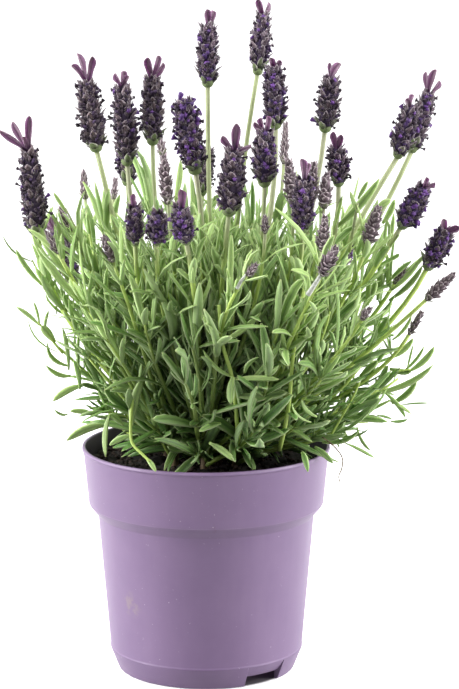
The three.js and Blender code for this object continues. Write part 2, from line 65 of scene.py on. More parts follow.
# Pot. A pair is a radius and a height.
WALL = 1.5
POT_HEIGHT = 120
RIM_RADIUS = 65
LIP_PROUD = 0.5
LIP_HEIGHT = 1.6
BAND = (62, 89.2)
SHOULDER = (57.1, 83.6)
CREASE = (51.2, 12)
FOOT_RADIUS = 46.2
FOOT_CORNER = 0.6
FLOOR_UNDER = 6.4
FLOOR_TOP = 8
NOTCH_TURN = 39.5
NOTCH_WIDTH = 22
NOTCH_HEIGHT = 5.5
NOTCH_EDGE = 0.25
DRAIN_COUNT = 6
DRAIN_RING = 26
DRAIN_RADIUS = 3.5
POT_SIDES = 144
POT_CORNER = 0.35
SHARP_FROM = 38
SCUFF_PLACE = (-39, -37, 43)
SCUFF_REACH = 9

# Peat
TOUCH_GAP = 0.4
SOIL_TOP = 111
SOIL_RINGS = 44
SOIL_SIDES = 150
SOIL_ROUGH = 0.42
CRUMB_COUNT = 900
CRUMB_SIZE = (0.5, 1.7)
CRUMB_FLAT = 0.7
GRAIN_COUNT = 16
GRAIN_SIZE = (0.7, 1.3)
GRAIN_FLAT = 0.85
CRUMB_REACH = 59.5

# Woody bases: the radii at the foot and at the top, how deep they go and how high they rise, and
# the sprays that grow from them as (count, reach, first turn)
BASE_BOTTOM = 2.9
BASE_TOP = 2.3
BASE_SUNK = 15
BASE_RISE = 9
SPRAY_RINGS = [(4, 36, 45), (7, 86, 12)]
ROOT_SHARE = 0.24


class Head:
    """A head: the middle of its base and of its tip, its width, the share of open violet florets,
    the share of withered ones, how far its scales turn from brown to violet, and its ears as (lean
    to the right, lean to the front, length, width) in degrees and millimetres. Stalk is the lean to
    the right of a stalk that doesn't follow its head, and crown the leans of florets on its tip."""

    def __init__(self, base, tip, wide, fresh=0, dried=0, violet=0, *ears, stalk=None, crown=()):
        self.foot = np.array(base, float)
        self.top = np.array(tip, float)
        self.wide = wide
        self.fresh = fresh
        self.dried = dried
        self.violet = violet
        self.ears = np.array(ears, float)
        self.stalk = stalk
        self.crown = np.array(crown, float)

    def axes(self):
        """Axis, length and the two directions square to the axis."""
        axis = unit(self.top - self.foot)
        across = square_to(np.array([1.0, 0.0, 0.0]), axis)
        return axis, np.linalg.norm(self.top - self.foot), across, np.cross(axis, across)


# Flower heads
FLOWERS = [
    Head((-87, -10, 233), (-91, -14, 278), 12.5, 0.1, 0.55, 0.3,
         (-49, 10, 18, 5), (-30, -15, 17, 5), (-22, 35, 10, 4.5), (3, 10, 18, 5)),
    Head((-57, 10, 275), (-62, 12, 310), 13, 0.04, 1.0, 0.15,
         (-42, 10, 12, 5), (-22, -15, 16, 5), (11, 15, 15, 5.5), stalk=-14),
    Head((-40, -20, 272), (-42, -24, 312), 12, 0.08, 0.75, 0.35,
         (-24, 15, 8, 4.5), (32, 10, 6.5, 4.5), (5, -20, 8, 4.5)),
    Head((-42, 45, 252), (-43, 50, 278), 11.5, 0.2, 0.7, 0.55, (5, -20, 7, 4.5), (-40, 0, 6, 4)),
    Head((-28, 22, 277), (-28, 26, 311), 12, 0.05, 1.0, 0.25,
         (-13, 15, 11.5, 5.5), (39, 0, 9.5, 4.5), (16, -15, 12, 4.5)),
    Head((-5, -30, 269), (-11, -36, 306), 14, 0.6, 0.9, 0.65, crown=(-9, 4, 9)),
    Head((-2, 30, 249), (1, 33, 272), 8.5, 0.05, 0.8, 0.35),
    Head((1, 8, 309), (1, 10, 340), 11.5, 0.25, 0.35, 0.75, (-2, 15, 8.5, 5), (25, -15, 8, 4.5)),
    Head((27, 30, 313), (30, 36, 343), 10.5, 0.22, 0.45, 0.6,
         (-19, 10, 9, 4.5), (29, -10, 7, 4.5), stalk=10),
    Head((36, -5, 289), (35, -8, 320), 12.5, 0.28, 0.45, 0.85, (-23, 20, 6, 4.5), (43, 10, 5, 4)),
    Head((30, -40, 264), (30, -46, 292), 13, 0.25, 0.3, 0.65,
         (-47, 5, 7, 4.5), (-12, 25, 8, 4.5), (15, 0, 7.5, 4.5)),
    Head((12, -58, 252), (15, -66, 285), 14, 0.12, 0.15, 0.35,
         (3, 15, 14.5, 6), (-42, 5, 9.5, 5), (72, 0, 8.5, 4.5)),
    Head((62, 12, 285), (65, 14, 312), 12.5, 0.08, 1.0, 0.5, (-4, -10, 8, 2.6), (34, 15, 9.5, 6)),
    Head((68, -25, 262), (67, -30, 281), 11.5, 0.25, 0.6, 0.7, (-13, 0, 9, 4.8), (14, 20, 8, 4.5)),
    Head((99, -8, 274), (105, -12, 300), 11, 0.3, 0.6, 0.6, (-20, 10, 5, 4), (15, 0, 6.5, 4), stalk=32),
    Head((108, 22, 273), (117, 28, 302), 10.5, 0.3, 0.7, 0.6,
         (-8, -15, 12, 3.6), (13, 15, 14, 5.5), (40, 0, 9, 4.5), stalk=24),
    Head((100, -30, 241), (111, -38, 262), 12, 0.75, 0.2, 0.75, (4, 10, 6, 4.5), (60, -10, 6, 4.5)),
    Head((114.5, -15, 217), (123.5, -20, 237), 12, 0.75, 0.3, 0.75,
         (-12, 0, 6.5, 4.5), (74, 5, 7.5, 5)),
    Head((49, -62, 244), (49, -72, 271), 11.5, 0.6, 0.1, 0.55, (-9, 10, 11, 5.5), (20, -25, 9, 4.5)),
    Head((-9, -80, 241), (-12, -92, 260), 10.5, 0.45, 0.15, 0.75, (0, 15, 10, 6.5)),
    Head((-24, -68, 239), (-23, -78, 254), 10.5, 0.5, 0.1, 0.6),
    Head((-35, -60, 237), (-35, -70, 257), 8.5, 0.3, 0.1, 0.45, (-2, 5, 7, 3.8)),
    Head((-72, 60, 196), (-82, 70, 222), 12, 0.3, 0.5, 0.5,
         (-20, -10, 9, 5), (15, -20, 8, 5), (-50, -20, 8, 4.5)),
    Head((8, 84, 200), (10, 96, 228), 12, 0.25, 0.6, 0.4, (10, -15, 9, 5.5), (-25, -10, 8, 4.5)),
    Head((70, 68, 200), (80, 80, 227), 11.5, 0.4, 0.4, 0.65, (25, -15, 9, 5), (-5, -20, 8, 4.5)),
]

# Unopened heads
BUDS = [
    Head((44, -45, 255), (42, -52, 278), 7.4),
    Head((54, -40, 256), (55, -46, 276), 6.3),
    Head((60, -46, 253), (61, -50, 270), 7.9),
    Head((-19, -38, 254), (-21, -44, 279), 7.4),
    Head((-23, 40, 267), (-25, 44, 279), 5.3),
    Head((113, -35, 204), (126, -42, 218), 6.8),
    Head((-64, 30, 246), (-65, 34, 260), 5.3),
    Head((-70, 5, 233), (-76, 6, 245), 5.3),
    Head((-75, -35, 228), (-80, -40, 239), 4.4),
    Head((-46, -65, 229), (-50, -72, 242), 5.8),
    Head((-50, 55, 242), (-49, 60, 253), 4),
    Head((41, 35, 264), (42, 40, 285), 4.7),
    Head((30, -70, 244), (30, -76, 253), 4.2),
    Head((58, -80, 237), (59, -92, 255), 6.3),
    Head((58, -92, 227), (64, -104, 242), 7.9),
    Head((82, -48, 235), (87, -58, 255), 8.4),
    Head((21, -95, 227), (25, -101, 233), 4.2),
    Head((98, -10, 208), (103, -14, 218), 5.3),
    Head((78, -85, 203), (81, -92, 210), 4.2),
    Head((105, -25, 184), (111, -32, 197), 4.2),
]

# Leafy shoots, round a middle a little to the right of the pot's axis
SHOOT_MIDDLE = 7
GOLDEN_ANGLE = 137.508
UPRIGHT_COUNT = 12
UPRIGHT_REACH = 80
UPRIGHT_TOP = 228
UPRIGHT_FALL = 34
UPRIGHT_LEAN = (6, 32)
LOW_COUNT = 6
LOW_MIDDLE = 16
LOW_REACH = 62
LOW_FIRST = 38
LOW_TOP = 150
LOW_LEAN = 50
SHOOT_JITTER = 9

# Leafy shoots between those: a set over the whole crown, and a ring of short ones that lean over
# the rim and reach less far at a bare place in the left front
FILL_COUNT = 66
FILL_FIRST = 61
FILL_REACH = 82
FILL_TOP = 230
FILL_FALL = 52
FILL_LEAN = (2, 36)
RIM_COUNT = 22
RIM_REACH = (42, 64)
RIM_STRETCH = [1.1, 1, 1]
RIM_TOP = (126, 150)
RIM_LEAN = (30, 74)
BARE_REACH = (34, 40)
BARE_TURN = 222
BARE_HALF = 26

# The shady hollow low in the plant's front: its middle and half its size, each across and up, where
# it starts before the axis and how far it fades in, and how much its leaves are thinned, broadened
# and given painted shade. The crown's own painted shade ends at SHADE_TOP and fades in below it
# over SHADE_FADE.
HOLLOW_MIDDLE = (0, 160)
HOLLOW_REACH = (66, 56)
HOLLOW_FRONT = 8
HOLLOW_FADE = 16
HOLLOW_THINNED = 0.12
HOLLOW_BROADER = 0.65
HOLLOW_SHADE = 0.52
SHADE_TOP = 240
SHADE_FADE = 55

# How leaves keep clear of the pot: above its rim, inside its wall, outside it and above the peat.
# Outside they hang below the rim by RIM_HANG at most, and before the pot they stay above a line that
# rises by FRONT_RISE towards the front. Past the plant's box they may go by BOX_SLACK.
RIM_CLEAR = 1.5
INNER_CLEAR = 4
OUTER_CLEAR = 2
PEAT_CLEAR = 2
RIM_HANG = 4
FRONT_RISE = 0.3
BOX_SLACK = ([6, 6, 0], [6, 6, 2])

# How far leaves reach to the left and to the right at each height
CROWN = [
    (118, -56, 76), (130, -64, 84), (143, -66, 94), (161, -73, 102), (174, -75, 104), (186, -81, 99),
    (200, -86, 98), (233, -93, 104), (254, -80, 96), (270, -55, 62), (285, -30, 40),
]

# The shoots that make the outline: the end, and the lean to the right and to the front
EDGE_SHOOTS = [
    ((-84, -10, 207), (-38, 0)),
    ((-77, 0, 172), (-46, 5)),
    ((-57, 5, 152), (-72, 0)),
    ((-52, -12, 140), (-80, 15)),
    ((-65, -8, 226), (-26, 5)),
    ((-52, 16, 228), (-4, -5)),
    ((-30, 26, 241), (-6, -5)),
    ((-8, 22, 232), (5, 0)),
    ((24, 20, 235), (8, -5)),
    ((50, 20, 231), (16, -5)),
    ((76, 8, 241), (34, 0)),
    ((84, -12, 212), (42, 0)),
    ((101, 2, 155), (52, 0)),
    ((89, 14, 142), (76, -5)),
    ((85, -8, 134), (88, 5)),
    ((66, -28, 131), (86, 25)),
]

# Single leaves that stand out: root, tip, width, how far the middle bows to the right and upwards,
# and the tone from -1 for dark, which is painted shade, to 1 for pale, a fresher tint
STRAYS = [
    ((-52, -22, 135), (-72, -26, 128), 4.6, (0, 2.2), 0.1),
    ((-64, -5, 153), (-80, -8, 145), 3.8, (-1, 1.2), 0.4),
    ((-57, -12, 138), (-71, -14, 141), 3, (0, 1), 0.3),
    ((-72, -14, 139.5), (-79, -14, 142), 1.6, (0, -1.5), -0.3),
    ((-49, -44, 146), (-51, -50, 125), 3.4, (-1.5, 1), -0.3),
    ((-42, -43, 140), (-49, -44, 146), 3.4, (0, 0.6), 0.1),
    ((-38, -50, 136), (-49, -50, 131), 3.2, (0, 1), 0.1),
    ((-37.5, -53, 142), (-32, -46, 165), 4.8, (-1.5, 0), -0.5),
    ((-30, -61, 127), (-25, -66, 121), 2.6, (0, 0.8), 0.9),
    ((-89, -9, 219), (-105, -12, 234), 1.4, (-2, -2), -0.5),
    ((-84, -9, 206), (-98, -12, 226), 2.8, (-1.5, 0), 0.2),
    ((-65, -16, 200), (-89, -20, 235), 5.4, (-1.5, -1), 0.8),
    ((-71, -12, 210), (-89, -14, 243), 4.6, (-0.5, 0), 0.7),
    ((-69, -10, 208), (-66, -12, 238), 3, (-1, 0), 0.1),
    ((-74, -8, 216), (-77, -8, 241), 2.8, (1, 0), 0.1),
    ((-83, -9, 208), (-90, -10, 229), 2, (0.5, 0), 0.7),
    ((-78, -2, 190), (-82, -2, 213), 1.8, (1.5, 0), -0.4),
    ((-67, -4, 195), (-79, -4, 209), 1.9, (-2, -1.5), 0.2),
    ((-87, -1, 184), (-99, -2, 194), 2.6, (0, 0.6), 0.5),
    ((-87, -1, 184), (-90, -2, 197), 1.5, (0.5, 0), 0),
    ((-84, -1, 181), (-82, -2, 192), 1.8, (-0.8, 0), 0.1),
    ((-79, -1, 175), (-86, -2, 184), 4.6, (-0.5, 0.8), -0.1),
    ((-78, -1, 170), (-93, -2, 188), 1.3, (-3, -2), 0.2),
    ((-72, 1, 162), (-83, 0, 175), 3, (-3, -2), 0.3),
    ((-71, 0, 157), (-84, -2, 163), 3, (0, -2), 0.2),
    ((-72, 0, 160), (-75, -2, 183), 2.4, (0.8, 0), -0.3),
    ((-66, -6, 151), (-69, -8, 167), 2.8, (0.8, 0), 0),
    ((-56, -8, 151), (-65, -12, 155), 2.8, (0, 0.6), -0.6),
    ((87, -12, 150), (118, -16, 166), 5, (2.5, -2), 1),
    ((96, -6, 162), (107, -8, 160.5), 3.4, (0, -0.6), -0.4),
    ((106, -8, 161), (119, -8, 174), 3.4, (1.2, -1), 0.1),
    ((103, -8, 161), (114, -6, 174), 1.9, (0.8, -0.8), 0),
    ((105, -8, 162), (108, -8, 175), 1.3, (0, 0), 0.1),
    ((96, -8, 168), (108, -10, 179), 3.2, (1, -1), 0.6),
    ((97, -8, 144), (110, -10, 157), 4.6, (1.5, -1), 0),
    ((95, -14, 147), (107, -16, 140), 2.2, (0.5, 0.4), 0.9),
    ((102, -8, 143), (117, -8, 144), 1.2, (0, 0.4), -0.1),
    ((84, -18, 141), (96, -20, 148), 1.8, (0, 0.5), 0.6),
    ((77, -24, 142), (91, -26, 154), 3.4, (0.5, 1), -0.2),
    ((72, -22, 139), (94, -26, 138), 3.6, (0, 0.8), 0.4),
    ((89, -20, 140), (97, -20, 138), 1.7, (0, 0.5), -0.2),
    ((96, -20, 137), (105, -20, 138), 2, (0, -0.6), 0.1),
    ((93, -14, 151), (104, -16, 138), 2.4, (1, 0.6), 0.2),
    ((95, -10, 199), (112, -14, 218), 3.2, (1.5, -1), -0.3),
    ((100, -8, 211), (114, -8, 223), 2.8, (0.5, -0.5), 0),
    ((94, -8, 207), (94, -8, 223), 2.7, (0.5, 0), 0.2),
    ((84, -14, 188), (98, -16, 203), 2.8, (1, -1), -0.4),
    ((97, -10, 178), (107, -10, 191), 2, (1, -1), -0.2),
    ((60, -38, 130), (79, -44, 138), 3.3, (1.5, -2.4), 0),
    ((78, -34, 137), (85, -36, 125), 1.8, (-1, -1), -0.2),
    ((72, -36, 129), (87, -40, 122), 2.2, (0, 0.6), 0.1),
    ((56, -44, 129), (65, -54, 122.5), 3.4, (0, 0.8), -0.3),
    ((49, -56, 129), (52, -66, 121), 3.2, (0, 1.6), 0.5),
    ((54, -50, 143), (44, -54, 154), 1.8, (-2, -1.4), 0.7),
    ((57, -46, 145), (49, -50, 155), 2.6, (-1.4, -1), 0.7),
    ((15, -66, 169), (37, -72, 170), 3.1, (0, 0.6), 0.7),
    ((20, -66, 172), (27, -70, 181), 3.1, (-1.5, 0.5), 0.7),
    ((28, -68, 170), (37, -72, 177), 2.6, (0.5, -0.8), 0.8),
    ((14, -66, 170), (13, -70, 157), 4.6, (-0.8, 0), 0.3),
    ((24, -58, 168), (38, -62, 188), 3.4, (1, -1), 0.1),
    ((8, -61, 187), (28, -66, 203), 3.2, (1, -1.2), 0.5),
    ((8, -61, 187), (-1, -66, 202), 2.6, (-1, -1), 0.3),
    ((14, -60, 169), (-1, -66, 184), 3.2, (-1, -2), 0.6),
    ((43, -58, 178), (39, -61, 192), 4, (-0.8, 0), 0.4),
    ((28, -56, 140), (20, -60, 151), 3.8, (-0.5, 0), 0.6),
    ((8, -56, 144), (-3, -62, 141), 4, (0, 1), 0.5),
    ((2, -53, 133), (15, -60, 125), 3.6, (0, 1), 0.3),
    ((16, -58, 159), (41, -62, 161), 6.4, (0, -1), -0.7),
    ((67, -20, 239), (89, -20, 264), 4.4, (1, -1), 0.5),
    ((78, -30, 239), (88, -30, 255), 4, (0.8, -0.8), 0.8),
    ((78, -24, 247), (74, -24, 258), 2.6, (0, 0), 0.3),
    ((88, -20, 249), (95, -20, 253), 4, (0, 0.5), 0.5),
    ((78, -22, 254), (83, -22, 263), 2.4, (0, 0), 0.4),
    ((66, -24, 239), (70, -24, 256), 2, (0, 0), 0.3),
    ((80, -34, 226), (95, -38, 239), 4.4, (0.8, -0.8), 0.6),
    ((-16, 0, 250), (-13, 0, 271), 3.4, (0.6, 0), 0.5),
    ((-72, 0, 243), (-79, 0, 254), 2.2, (0, 0), 0.4),
    ((89, -10, 199), (90, -10, 220), 3.6, (0.8, 0), 0.2),
    ((94, -12, 226), (97, -12, 245), 2.4, (0.5, 0), 0.3),
    ((81, -14, 195), (88, -18, 211), 4.2, (0.8, 0), 0.3),
    ((84, -14, 197), (85, -18, 212), 3.4, (-0.6, 0), 0.1),
    ((80, -16, 160), (89, -20, 169), 4, (0.5, 0.6), 0),
    ((91, -14, 240), (97, -18, 253), 3.6, (0.6, -0.4), 0.3),
    ((96, -14, 205), (111, -18, 223), 3, (0.8, -0.8), 0.3),
    ((94, -14, 209), (106, -18, 221), 2.6, (0, 0.8), 0.2),
    ((82, -14, 172), (93, -18, 183), 3.4, (0.6, -0.6), 0.2),
]

# Places of the finishes in a spray's piece and in a head's
LEAF, STEM, WOOD, BUD, HAIR, WOOL = range(6)
SCALE, CALYX, OPEN, WITHERED = range(4)

# Thin shoots as the points they pass, their radius and their finish: a sprig broken over the rim, two
# stems in front, the ends of side shoots, white woolly stalks and a withered tendril
THREADS = [
    (((-37, -52, 156), (-38, -54, 146), (-38, -56, 135), (-36, -58, 132), (-31, -61, 128), (-28, -63, 125.5)),
     0.85, STEM),
    (((17, -40, 128), (16, -52, 146), (14, -60, 169), (8, -62, 187), (7, -61, 206)), 1.15, STEM),
    (((38, -38, 126), (41, -50, 142), (43, -57, 158), (44, -58, 178), (50, -57, 214)), 1.15, STEM),
    (((-75, 0, 169), (-79, -1, 174), (-84, -1, 181), (-88, -1, 186)), 0.7, STEM),
    (((-83, -9, 204), (-86, -9, 212), (-90, -9, 220)), 0.55, STEM),
    (((94, -5, 158), (100, -8, 161), (107, -8, 162)), 0.6, STEM),
    (((70, -14, 140), (79, -14, 146), (90, -12, 152)), 1.0, STEM),
    (((74, -20, 226), (76, -22, 240), (78, -24, 252)), 0.8, STEM),
    (((-14, 8, 236), (-16, 2, 252)), 0.8, STEM),
    (((-66, 0, 232), (-73, 0, 246)), 0.6, STEM),
    (((51, -88, 216), (54, -90, 221), (58, -92, 228)), 1.25, WOOL),
    (((16, -93, 220), (18, -94, 224), (21, -95, 228)), 0.9, WOOL),
    (((64, -36, 132), (70, -37, 143), (75, -38, 152), (79, -40, 162)), 0.6, STEM),
    (((60, -40, 133), (66, -45, 129.5), (70.5, -47, 124), (70, -47, 118), (68, -47, 114), (69, -47, 111)),
     0.35, WOOD),
]

# A stem's curve, and its radius by its kind
BEND_STEEP = 0.45
BEND_LOWER = 0.33
BEND_UPPER = 0.36
STEM_RADIUS = {"flower": 1.35, "bud": 1.05, "shoot": 1.15, "rim": 1.0}

# Leaves that the solids have too
LEAF_LENGTH = (29, 37)
LEAF_WIDTH = (3.1, 4)
LEAF_SPREAD = (30, 56)
LEAF_DROOP = (-0.2, 0.1)
TUFT_SPREAD = 18

# Leaves between those, in pairs up a stem, and small ones in their axils. From LOW_START down, over
# LOW_DEPTH, more of them are broad, and they spread more. Tints rise up the plant over TINT_OVER, and
# beyond PAINTED_LIGHT_FROM to the left over PAINTED_LIGHT_OVER by LEFT_PAINTED_LIGHT, as painted light.
NODE_STEP = 17
NODE_CROWD = 1.25
LEAFY_TOP = 232
MORE_LENGTH = (18, 36)
SLIM_WIDTH = (2.0, 3.3)
BROAD_WIDTH = (3.4, 4.7)
BROAD_SHARE = 0.2
MORE_SPREAD = (48, 28)
MORE_DROOP = (-0.34, 0.16)
LOW_START = 165
LOW_DEPTH = 45
LOW_SPREAD = 14
LOW_BROAD = 0.3
LOW_DROOP = 0.3
TINT_LOW = 0.08
TINT_RISE = 0.62
TINT_OVER = 105
TINT_UNEVEN = 0.18
LEFT_PAINTED_LIGHT = 0.35
PAINTED_LIGHT_FROM = 30
PAINTED_LIGHT_OVER = 30
SMALL_SHARE = 0.7
SMALL_EACH = 2
SMALL_LENGTH = (7, 18)
SMALL_WIDTH = (1.6, 2.7)

# Heads. A full head's length times its width is FULL_HEAD, and it has WITHERED_COUNT or OPEN_COUNT
# florets where its share of them is 1. Teeth are counted per millimetre, and hairs per scale or
# tooth. A scale's width is a share of the head's, as are the widths read along it. The crown's
# florets start CROWN_SUNK below the head's tip, and the ears' cap stands EAR_SUNK below it.
SCALE_LENGTH = 6.6
SCALE_WIDTH = 0.36
SCALE_HAIRS = 14
TIER_STEP = 2.5
TIER_SCALES = 3
BUD_SCALE_LENGTH = 3.8
BUD_SCALE_WIDTH = 0.5
BUD_SCALE_HAIRS = 4
BUD_TIER_STEP = 2.0
BUD_TIER_SCALES = 4
TEETH = 3.4
TOOTH_HAIRS = 2
CUP_RADII = [(-1.3, 0.18), (-1, 0.3), (-0.4, 0.42), (0.5, 0.5), (1.5, 0.52), (2.4, 0.46), (3, 0.32)]
CALYX_STEP = 2.3
CALYX_RANKS = 8
FULL_HEAD = 420
WITHERED_COUNT = 56
OPEN_COUNT = 60
CROWN_SUNK = 5.5
CROWN_LENGTH = 6.4
CROWN_RADIUS = 0.95
HEAD_WIDTHS = [(0, 0.62), (0.3, 1), (0.7, 0.92), (1, 0.6)]
BUD_WIDTHS = [(0, 0.6), (0.3, 1), (0.7, 0.78), (1, 0.3)]
CAP_HEIGHT = 3
CAP_RADII = [2.2, 2.1, 1.6, 0.8]
EAR_START = 0.9
EAR_SUNK = 3
EAR_SLIM = 0.82
EAR_ROLL = 62

UP = np.array([0.0, 0.0, 1.0])


def metres(value):
    return value / 1000


low_corner, high_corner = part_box("pot")
AXIS = np.array([(low_corner.x + high_corner.x) / 2, (low_corner.y + high_corner.y) / 2, 0])
LOWEST = np.array(packed_box[0]) * 1000 - AXIS * 1000
HIGHEST = np.array(packed_box[1]) * 1000 - AXIS * 1000


# Vectors and draws

def unit(vectors):
    return vectors / np.linalg.norm(vectors, axis=-1, keepdims=True)


def dot(first, second):
    return np.sum(first * second, axis=-1, keepdims=True)


def square_to(vectors, ahead):
    """Unit vectors at right angles to ahead: each less its share along ahead."""
    return unit(vectors - dot(vectors, ahead) * ahead)


def lerp(first, second, share):
    return first + (second - first) * share


def outward_of(turn):
    """Level unit vectors at the given turns in degrees."""
    turn = np.radians(turn)
    return np.stack([np.cos(turn), np.sin(turn), np.zeros_like(turn)], axis=-1)


def level_beside(direction):
    """Level unit vector at right angles to the plan of the direction."""
    flat = np.array([-direction[1], direction[0], 0.0])
    size = np.linalg.norm(flat)
    return flat / size if size > 1e-3 else np.array([1.0, 0.0, 0.0])


def drawer(seed):
    """Draws from 0 to 1: each state is 16807 times the last one, modulo 2**31 - 1."""
    state = seed

    def draw():
        nonlocal state
        state = state * 16807 % 2147483647
        return state / 2147483647

    for _ in range(3):
        draw()
    return draw


def around(across, through, turn):
    """Directions across * cos(turn) + through * sin(turn), with turns in radians."""
    return across * np.cos(turn)[:, None] + through * np.sin(turn)[:, None]


def read_between(shares, marks, rows):
    """Rows read at shares of the way, in straight lines between the marks where they stand."""
    return np.stack([np.interp(shares, marks, column) for column in np.array(rows, float).T], axis=-1)


def read_profile(rows, shares):
    """The rows' second values, read at shares among their first ones."""
    rows = np.array(rows, float)
    return np.interp(shares, rows[:, 0], rows[:, 1])


# Closed skins

class Heap:
    """Closed skins gathered for one piece, with the traits that its materials read."""

    def __init__(self, *trait_names):
        self.points = []
        self.corners = []
        self.sizes = []
        self.finishes = []
        self.traits = {name: [] for name in trait_names}
        self.count = 0

    def add(self, rings, finish=0, **traits):
        """Adds forms given as rings[form, ring, corner, xyz]: quads join each ring to the next,
        and one face closes each end. Corners turn right-handed round the way the rings go."""
        forms, length, sides, _ = rings.shape
        corner = np.arange(length * sides).reshape(length, sides)
        beside = np.roll(corner, -1, axis=1)
        quads = np.stack([corner[:-1], beside[:-1], beside[1:], corner[1:]], axis=-1)
        ends = np.stack([corner[0, ::-1], corner[-1]])
        offsets = self.count + np.arange(forms)[:, None] * length * sides
        faces = [(quads.reshape(1, -1), 4), (ends.reshape(1, -1), sides)]
        for pattern, size in faces:
            self.corners.append((offsets + pattern).ravel())
            number = forms * pattern.size // size
            self.sizes.append(np.full(number, size))
            self.finishes.append(np.full(number, finish))
        self.points.append(rings.reshape(-1, 3))
        for name, gathered in self.traits.items():
            value = np.asarray(traits.get(name, 0.0), float)
            gathered.append(np.broadcast_to(value, (forms, length, sides)).ravel())
        self.count += forms * length * sides

    def piece(self, name, materials):
        """Makes the gathered skins one mesh object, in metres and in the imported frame."""
        mesh = bpy.data.meshes.new(name)
        corners = np.concatenate(self.corners).astype(np.int32)
        sizes = np.concatenate(self.sizes).astype(np.int32)
        places = metres(np.concatenate(self.points)) + AXIS
        mesh.vertices.add(len(places))
        mesh.vertices.foreach_set("co", places.ravel())
        mesh.loops.add(len(corners))
        mesh.loops.foreach_set("vertex_index", corners)
        mesh.polygons.add(len(sizes))
        mesh.polygons.foreach_set("loop_start", (np.cumsum(sizes) - sizes).astype(np.int32))
        mesh.polygons.foreach_set("material_index", np.concatenate(self.finishes).astype(np.int32))
        mesh.update(calc_edges=True)
        mesh.validate()
        mesh.shade_smooth()
        for trait, gathered in self.traits.items():
            attribute = mesh.attributes.new(trait, "FLOAT", "POINT")
            attribute.data.foreach_set("value", np.concatenate(gathered).astype(np.float32))
        for material in materials:
            mesh.materials.append(material)
        obj = bpy.data.objects.new(name, mesh)
        bpy.context.scene.collection.objects.link(obj)
        return obj


def hold(obj, slot, *nodes):
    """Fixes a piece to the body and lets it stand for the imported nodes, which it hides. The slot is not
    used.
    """
    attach(obj, "root")
    if nodes:
        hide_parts(*nodes)


def tubes(paths, radii, sides, level=None):
    """Round tubes: point + radius * (across * cos + through * sin) at each point of each path."""
    ahead = unit(np.gradient(paths, axis=1))
    if level is None:
        chord = unit(paths[:, -1] - paths[:, 0])
        level = np.stack([level_beside(one) for one in chord])
    across = square_to(np.broadcast_to(level[:, None], ahead.shape), ahead)
    through = np.cross(ahead, across)
    turn = np.arange(sides) * 2 * math.pi / sides
    spoke = across[:, :, None] * np.cos(turn)[:, None] + through[:, :, None] * np.sin(turn)[:, None]
    return paths[:, :, None] + spoke * radii[:, :, None, None]


# Rows of a section are (place across, rise as a share of the half width, rise in thicknesses).
LEAF_SECTION = np.array([
    (0, -0.36, 0), (1, -0.24, 0), (0.55, 0.24, 0), (0, -0.04, 0), (-0.55, 0.24, 0), (-1, -0.24, 0),
])
SMALL_SECTION = np.array([(0, -0.4, 0), (1, 0.05, 0), (0, 0.12, 0), (-1, 0.05, 0)])


def petal_section(count, cup):
    """Section of a thin petal: count points over it from right to left and back below it, raised
    by cup times the square of the place across."""
    above = np.linspace(1, -1, count)
    across = np.concatenate([above, above[-2:0:-1]])
    face = np.concatenate([[0], np.ones(count - 2), [0], -np.ones(count - 2)])
    return np.stack([across, cup * across ** 2, face], axis=-1)


def uncurled(rows, t):
    """Points root + length * (direction * t + bend * t**2) of long thin forms."""
    length = rows["length"][:, None, None]
    points = rows["root"][:, None] + rows["direction"][:, None] * length * t[:, None]
    return points + rows["bend"][:, None] * length * (t ** 2)[:, None]


def blades(rows, outline, section, thick=0.0, wave=0.0):
    """Long thin forms. The spine is root + length * (direction * t + bend * t**2 + curl * t**4),
    and the section is laid across it at the half width that the outline gives at t. A wave lifts
    one edge and lowers the other in turn."""
    t = outline[:, 0]
    length = rows["length"][:, None, None]
    spine = uncurled(rows, t) + rows["curl"][:, None] * length * (t ** 4)[:, None]
    ahead = rows["direction"][:, None] + 2 * rows["bend"][:, None] * t[:, None]
    ahead = unit(ahead + 4 * rows["curl"][:, None] * (t ** 3)[:, None])
    beside = square_to(np.broadcast_to(rows["beside"][:, None], ahead.shape), ahead)
    above = np.cross(ahead, beside)
    half = (rows["width"][:, None] / 2 * outline[:, 1])[:, :, None, None]
    place, bow, face = (section[:, column][:, None] for column in range(3))
    thickness = thick * np.minimum(1, outline[:, 1] / 0.4)[None, :, None, None]
    ripple = 0.0
    if wave:
        swing = np.sin(t[None, :] * 9 + rows["phase"][:, None])
        ripple = wave * swing[:, :, None, None] * place * np.abs(place)
    rise = half * bow + thickness * face + ripple
    return spine[:, :, None] + half * place * beside[:, :, None] + rise * above[:, :, None]


def blade_traits(outline, section):
    """Traits of a long thin form: how far along it and how far from its middle a corner stands."""
    return {"along": outline[:, 0][None, :, None], "side": np.abs(section[:, 0])[None, None, :]}


def joined_rows(parts):
    return {name: np.concatenate([part[name] for part in parts]) for name in parts[0]}


def chosen(rows, keep):
    return {name: values[keep] for name, values in rows.items()}


# Plan of the plant

class Spray:
    """A leafy spray: the middle of its share of the crown, its foot in the peat and its stems."""

    def __init__(self, reach, turn):
        self.middle = outward_of(turn) * reach
        self.root = self.middle * ROOT_SHARE + UP * SOIL_TOP
        self.stems = []


class Curve:
    """A stem's smooth curve, read by the share of its length."""

    def __init__(self, start, lower, upper, end):
        t = np.linspace(0, 1, 65)[:, None]
        s = 1 - t
        self.points = s ** 3 * start + 3 * s * s * t * lower + 3 * s * t * t * upper + t ** 3 * end
        steps = np.linalg.norm(np.diff(self.points, axis=0), axis=1)
        self.length = steps.sum()
        self.shares = np.concatenate([[0], np.cumsum(steps)]) / self.length
        self.aheads = unit(np.gradient(self.points, axis=0))

    def place(self, shares):
        return read_between(shares, self.shares, self.points)

    def ahead(self, shares):
        return unit(read_between(shares, self.shares, self.aheads))


